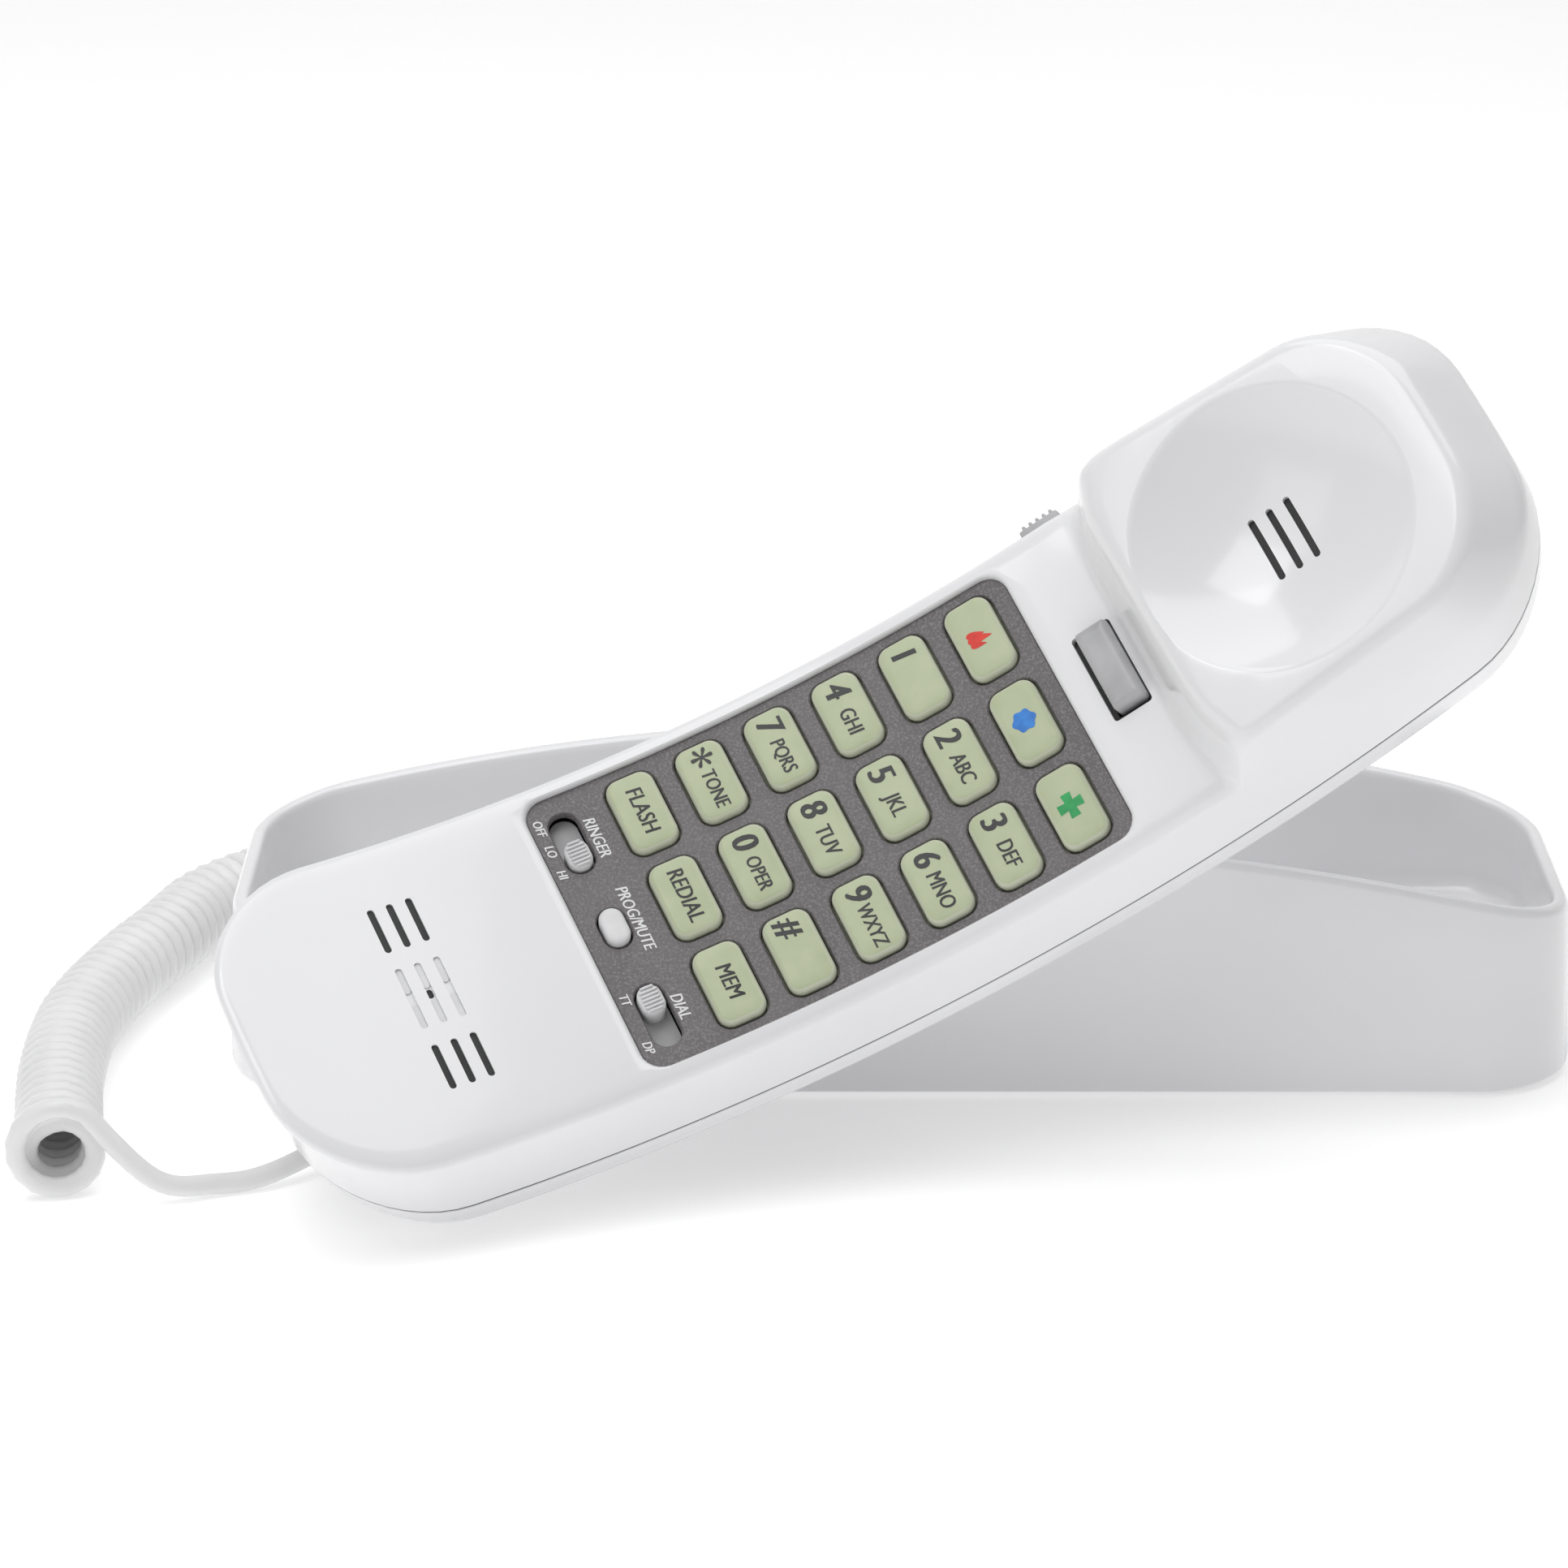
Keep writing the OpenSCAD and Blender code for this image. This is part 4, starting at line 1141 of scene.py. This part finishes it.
def key_height(x, y):
    """The domed top of a key."""
    return KEY_TOP - DOME * ((2 * x / KEY_WIDTH) ** 2 + (2 * y / KEY_LENGTH) ** 2) / 2


def key_mesh(name, place):
    """One key: skirt, rounded edge and domed top."""
    rings = pill_stack(KEY_WIDTH + 1.2, KEY_LENGTH + 1.2, KEY_CORNER,
                       [(SKIRT_FOOT, 0), (SKIRT_TOP, 0)])
    rings += pill_stack(KEY_WIDTH, KEY_LENGTH, KEY_CORNER, [(SKIRT_TOP, 0), (-KEY_EDGE, 0)])
    for share in (0.2, 0.4, 0.6, 0.8, 1.0):
        angle = math.radians(90 * share)
        inset = KEY_ROUND * (1 - math.cos(angle))
        ring = pill_stack(KEY_WIDTH, KEY_LENGTH, KEY_CORNER, [(0, inset)])[0]
        rings.append([(x, y, -KEY_EDGE + (key_height(x, y) + KEY_EDGE) * math.sin(angle))
                      for x, y, z in ring])
    last = pill_stack(KEY_WIDTH, KEY_LENGTH, KEY_CORNER, [(0, KEY_ROUND)])[0]
    for scale in (0.75, 0.5, 0.25, 0.0):
        rings.append([(x * scale, y * scale, key_height(x * scale, y * scale)) for x, y, z in last])
    return mesh_piece(name, *loft(rings, True), place)


LEGENDS = {"key_1": ("1", ""), "key_2": ("2", "ABC"), "key_3": ("3", "DEF"),
           "key_4": ("4", "GHI"), "key_5": ("5", "JKL"), "key_6": ("6", "MNO"),
           "key_7": ("7", "PQRS"), "key_8": ("8", "TUV"), "key_9": ("9", "WXYZ"),
           "key_star": ("*", "TONE"), "key_0": ("0", "OPER"), "key_pound": ("#", ""),
           "key_flash": ("", "FLASH"), "key_redial": ("", "REDIAL"), "key_mem": ("", "MEM")}
KEY_ROWS = [("key_flash", "key_redial", "key_mem"), ("key_star", "key_0", "key_pound"),
            ("key_7", "key_8", "key_9"), ("key_4", "key_5", "key_6"), ("key_1", "key_2", "key_3"),
            ("key_fire", "key_police", "key_medical")]


def legend_of(name):
    """Digit to the left, small letters to its right, or a word in the middle."""
    digit, word = LEGENDS[name]
    if not digit:
        return struck(letters(word, 3.7, 0.14, 0.80), 0.07)
    if digit == "*":
        parts = [struck(moved(letters(digit, 8.2, 0, 0.95), -4.0, -1.4), 0.1)]
    else:
        parts = [struck(moved(letters(digit, 5.9, 0.15, 0.88), -4.1, 0), 0.2)]
    if word:
        size = 3.6 if len(word) < 4 else 3.3
        parts.append(struck(moved(letters(word, size, 0.14, 0.76), 1.7, -0.1), 0.07))
    return spread_faces(parts)


for row, names in enumerate(KEY_ROWS):
    for column, name in enumerate(names):
        place = shifted(on_arch(row_x(row - 3)), (1 - column) * COLUMN_PITCH)
        cap = settle(key_mesh(name + "_cap", place), key_green, name)
        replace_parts(cap, name)
        if name in LEGENDS:
            printed(name + "_legend", legend_of(name), place, (0, 0), key_height, ink_black, name)
print("keys:", sum(len(names) for names in KEY_ROWS))

# %% [markdown]
# ## Pictures on the emergency keys
# The three top keys carry a flame, a badge and a cross. Each is an outline worked out from a few
# numbers and filled with faces. A filled outline could be a curve, but as a mesh it can follow
# the key's dome in the same way as the letters.

# %% Emergency pictures


def filled(outline):
    """An outline as a fan of faces around its middle."""
    centre = Vector((sum(p[0] for p in outline), sum(p[1] for p in outline), 0)) / len(outline)
    points = [Vector((p[0], p[1], 0)) for p in outline] + [centre]
    last = len(outline)
    return points, [(k, (k + 1) % last, last) for k in range(last)]


def badge():
    """A six-sided badge with round tips."""
    outline = []
    for k in range(60):
        angle = 2 * math.pi * k / 60
        radius = 1.85 + 0.17 * math.cos(6 * angle) + 0.07 * math.cos(2 * angle)
        outline.append((radius * math.sin(angle), radius * math.cos(angle)))
    return filled(outline)


def cross():
    """A cross of two equal bars with slightly flared ends."""
    arm, wide, waist = 2.1, 0.85, 0.7
    corner = [(-wide, arm), (wide, arm), (waist, waist)]
    outline = []
    for turn in range(4):
        a = -math.pi / 2 * turn
        outline += [(x * math.cos(a) - y * math.sin(a), x * math.sin(a) + y * math.cos(a))
                    for x, y in corner]
    return filled(outline)


def flame():
    """Three tongues of flame side by side, each a leaning drop."""
    parts = []
    tongues = ((-0.85, -0.3, 3.0, 0.8), (0.05, 0.1, 4.0, 1.05), (0.95, -0.5, 2.6, 0.75))
    for dx, dy, tall, wide in tongues:
        outline = []
        for k in range(24):
            angle = 2 * math.pi * k / 24
            up = (1 - math.cos(angle)) / 2
            x = wide * math.sin(angle) * (1 - 0.75 * up) + 0.55 * up * up
            outline.append((x + dx, up * tall - tall / 2 + dy))
        parts.append(filled(outline))
    return spread_faces(parts)


for name, picture, ink, column in (("key_fire", flame(), ink_red, 1),
                                   ("key_police", badge(), ink_blue, 0),
                                   ("key_medical", cross(), ink_green, -1)):
    place = shifted(on_arch(row_x(2)), column * COLUMN_PITCH)
    printed(name + "_picture", picture, place, (0, 0), key_height, ink, name)
print("pictures done")

# %% [markdown]
# ## Legends of the panel
# The panel's own legends are printed in white beside the slots. The panel is arched, so each
# word is laid at the panel's depth under the face.

# %% Panel legends


def panel_height(x, y):
    """The panel's top, in a place square to the face: it rises away from there, with the arch."""
    return -PANEL_DROP + x * x / (2 * ARCH) + INK_DEPTH


LARGE, SMALL = 2.7, 2.1
SMALL_X, SMALL_STEP = -3.7, 4.4
PANEL_WORDS = [("RINGER", LARGE, 3.9, COLUMN_PITCH - 0.6),
               ("OFF", SMALL, SMALL_X, COLUMN_PITCH + SMALL_STEP),
               ("LO", SMALL, SMALL_X, COLUMN_PITCH),
               ("HI", SMALL, SMALL_X, COLUMN_PITCH - SMALL_STEP),
               ("PROG/MUTE", LARGE, 3.6, 0.4),
               ("DIAL", LARGE, 3.7, -COLUMN_PITCH),
               ("TT", SMALL, SMALL_X, SMALL_STEP - COLUMN_PITCH),
               ("DP", SMALL, SMALL_X, -COLUMN_PITCH - SMALL_STEP)]
for word, size, x, y in PANEL_WORDS:
    sign = struck(letters(word, size, 0.25, 0.78), 0.06)
    printed("panel_" + word.lower().replace("/", "_"), sign, control_place, (x, y), panel_height,
            ink_white, "handset")
print("panel legends done")

# %% [markdown]
# ## Knobs and buttons
# Two ribbed knobs slide in oval slots, a small pill-shaped button sits between them, a wide
# grey button holds the line, and a ribbed thumb slide on the long side sets the volume. All are
# rounded blocks; the ribs are thin rounded bars laid on top.

# %% Knobs and buttons
RIB_STEP = 0.66
KNOB_OFFSET = 2.5


def slide_knob(name, side, across, body):
    """An oval knob with ribs across the way it slides."""
    place = shifted(control_place, side * COLUMN_PITCH + across)
    levels = [(-4.0, 0.0), (-0.9, 0.0), (-0.6, 0.08), (-0.35, 0.25), (-0.22, 0.5)]
    parts = [rounded_block("cap", place, 4.0, 5.2, 1.9, levels, 8)]
    for k in range(-3, 4):
        length = 3.1 if abs(k) < 3 else 2.2
        parts.append(rounded_block("rib", shifted(place, k * RIB_STEP), length, 0.36, 0.16,
                                   [(-0.4, 0.0), (0.12, 0.0), (0.22, 0.08)], 3))
    knob = settle(join_all(name, parts), knob_light, body)
    floor = rounded_block(name + "_slot_floor", shifted(control_place, side * COLUMN_PITCH),
                          4.7, 10.9, 2.3, [(-4.4, 0), (-3.9, 0)])
    settle(floor, knob_grey, "handset")
    return knob


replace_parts(slide_knob("ringer_slide", 1, -KNOB_OFFSET, "ringer_knob"), "ringer_knob")
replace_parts(slide_knob("dial_slide", -1, KNOB_OFFSET, "dial_knob"), "dial_knob")
levels = [(-4.6, 0.0), (-0.6, 0.0), (-0.25, 0.1), (0.0, 0.35), (0.1, 0.8), (0.1, 1.9)]
program = rounded_block("program_pill", control_place, 4.0, 6.4, 1.95, levels, 8)
settle(program, knob_light, "prog_button")
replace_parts(program, "prog_button")

levels = [(-6.0, 0.0), (1.3, 0.0), (1.85, 0.15), (2.2, 0.5), (2.36, 1.0), (2.4, 1.6), (2.4, 2.6)]
hook = rounded_block("hook_bar", on_arch(HOOK_X), 5.6, 14.4, 0.7, levels)
settle(hook, hook_grey, "hook_button")
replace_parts(hook, "hook_button")
# painted shade: a black ring under the gap round the hook button, so the gap reads dark as in shadow
levels = [(-1.6, 0.0), (-1.2, 0.0), (-1.2, 0.72), (-1.6, 0.72), (-1.6, 0.0)]
well = pill_stack(6.8, 15.6, 0.6, levels)
hook_gap_shade = mesh_piece("hook_gap_shade", *loft(well), on_arch(HOOK_X) @ HOOK_SHIFT)
settle(hook_gap_shade, switch_black, "handset")

volume_place = on_arch(VOLUME_X)
parts = [block("thumb", -3.5, 3.5, HALF_WIDTH - 3.6, HALF_WIDTH + 0.6, -6.1, -2.9,
               volume_place, 0.35)]
parts += [block("rib", x - 0.28, x + 0.28, HALF_WIDTH + 0.3, HALF_WIDTH + 1.2, -5.9, -3.1,
                volume_place, 0.2) for x in (-2.5, -1.25, 0.0, 1.25, 2.5)]
volume = settle(join_all("volume_thumb", parts), knob_grey, "volume_knob")
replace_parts(volume, "volume_knob")
print("controls done")

# %% [markdown]
# ## Dark behind the slots
# The sound slots look black because their insides lie in shade. Small dark strips just below
# the surface are painted shade that stands in for it.

# %% Painted shade in the slots
STRIP_WIDTH = SLOT_WIDTH - 0.04
# painted shade: black strips nearly flush in the slots, where their insides lie in shadow
slot_shade_strips = [slot_cutter(EAR_PLACE, k * SLOT_STEP, 0, 11.25, STRIP_WIDTH, ear_top, -DISH_DEPTH - 1.9)
          for k, ear_top in ((-1, -7.75), (0, -7.9), (1, -7.75))]
slot_shade_strips += [slot_cutter(MOUTH_PLACE, k * SLOT_STEP, side * SLOT_GROUP_Y, 7.95, STRIP_WIDTH,
                       -0.3, -1.4) for k in (-1, 0, 1) for side in (-1, 1)]
slot_shade_strips.append(slot_cutter(MOUTH_PLACE, 0, 0, 1.55, 0.95, -0.65, -1.5))
slot_shade = settle(join_all("painted_slot_shade", slot_shade_strips), switch_black, "handset")
# the middle group of the mouthpiece's slots is blind: pale grey strips fill it, a painted shade for
# their shallow recess
blind_slot_shade = [slot_cutter(MOUTH_PLACE, k * SLOT_STEP, side * 3.25, 4.4, STRIP_WIDTH, -0.3, -0.7)
          for k in (-1, 0, 1) for side in (-1, 1)]
settle(join_all("blind_slots", blind_slot_shade), knob_light, "handset")
print("dust cloth points:", len(slot_shade.data.vertices))

# %% [markdown]
# ## The rest of the mechanism
# Sockets, screws, feet, the circuit board and the other inner parts already have their right
# shapes in the mechanical model. They only need a finish. Naming the finish by part keeps the
# list easy to read and easy to change.

# %% Finishes of the mechanical parts
FINISHES = [("base_bottom", shell_white), ("base_weight", steel), ("base_feet", foot_rubber),
            ("base_screws", steel), ("line_jack", jack_ivory), ("base_handset_jack", jack_ivory),
            ("base_wires", wire_red), ("key_mat", mat_rubber), ("main_board", board_green),
            ("receiver", receiver_grey), ("receiver_seal", switch_black), ("microphone", steel),
            ("mic_boot", foot_rubber), ("ringer", brass_can), ("hook_spring", steel),
            ("hook_switch", switch_black), ("ringer_switch", switch_black),
            ("dial_switch", switch_black), ("volume_pot", switch_black),
            ("handset_jack", jack_ivory), ("handset_screws", steel), ("board_screws", steel)]
for name, material in FINISHES:
    node = frame["nodes"][name]
    dress(node, material)
print("finished mechanical parts:", len(FINISHES))

# %% [markdown]
# ## Floor and light
# The telephone stands on a plain pale surface that curves up behind it, so that no horizon
# shows. Large soft lights suit glossy white plastic: they draw broad, gentle highlights and
# leave just enough shade to read the shapes.

# %% Floor and lights
FLOOR_GLOW = 0.32
SKY_GLOW = 0.33
SWEEP, SWEEP_STEPS = 1200.0, 16
floor_material = finish_of("floor_paper", (0.90, 0.90, 0.90), (0.92, 0.92, 0.92), 0.8, 200, 0.05, 3)
floor_shader = floor_material.node_tree.nodes["Principled BSDF"]
floor_shader.inputs["Emission Color"].default_value = (1, 1, 1, 1)
floor_shader.inputs["Emission Strength"].default_value = FLOOR_GLOW
rows = [(-3000.0, 0.0), (SWEEP, 0.0)]
rows += [(SWEEP + SWEEP * math.sin(t), SWEEP - SWEEP * math.cos(t))
         for t in (math.radians(90 * k / SWEEP_STEPS) for k in range(1, SWEEP_STEPS + 1))]
rows.append((2 * SWEEP, 4000.0))
points = [(x, y, z) for y, z in rows for x in (-4000.0, 4000.0)]
faces = [(2 * k, 2 * k + 1, 2 * k + 3, 2 * k + 2) for k in range(len(rows) - 1)]
floor = mesh_piece("studio_floor", points, faces)
dress(floor, floor_material)


def area_light(name, at, size, power):
    """A rectangular soft light at a point, turned towards the telephone."""
    data = bpy.data.lights.new(name, "AREA")
    data.shape = "RECTANGLE"
    data.size, data.size_y = size
    data.energy = power
    light = bpy.data.objects.new(name, data)
    bpy.context.scene.collection.objects.link(light)
    light.location = at
    light.rotation_euler = (CENTRE - Vector(at)).to_track_quat("-Z", "Y").to_euler()


CENTRE = Vector((0, -0.03, 0.05))
area_light("overhead", (0.0, 0.1, 1.2), (1.2, 0.9), 6.5)
area_light("left_front", (-1.0, -0.9, 0.8), (0.9, 0.9), 2.2)
area_light("front_top", (-0.45, -0.5, 1.15), (0.6, 0.6), 3.4)
world = bpy.data.worlds.new("studio")
world.use_nodes = True
sky = world.node_tree.nodes["Background"]
sky.inputs["Color"].default_value = (1, 1, 1, 1)
sky.inputs["Strength"].default_value = SKY_GLOW
bpy.context.scene.world = world
bpy.context.scene.view_settings.view_transform = "Standard"
print("lights:", len(bpy.data.lights))
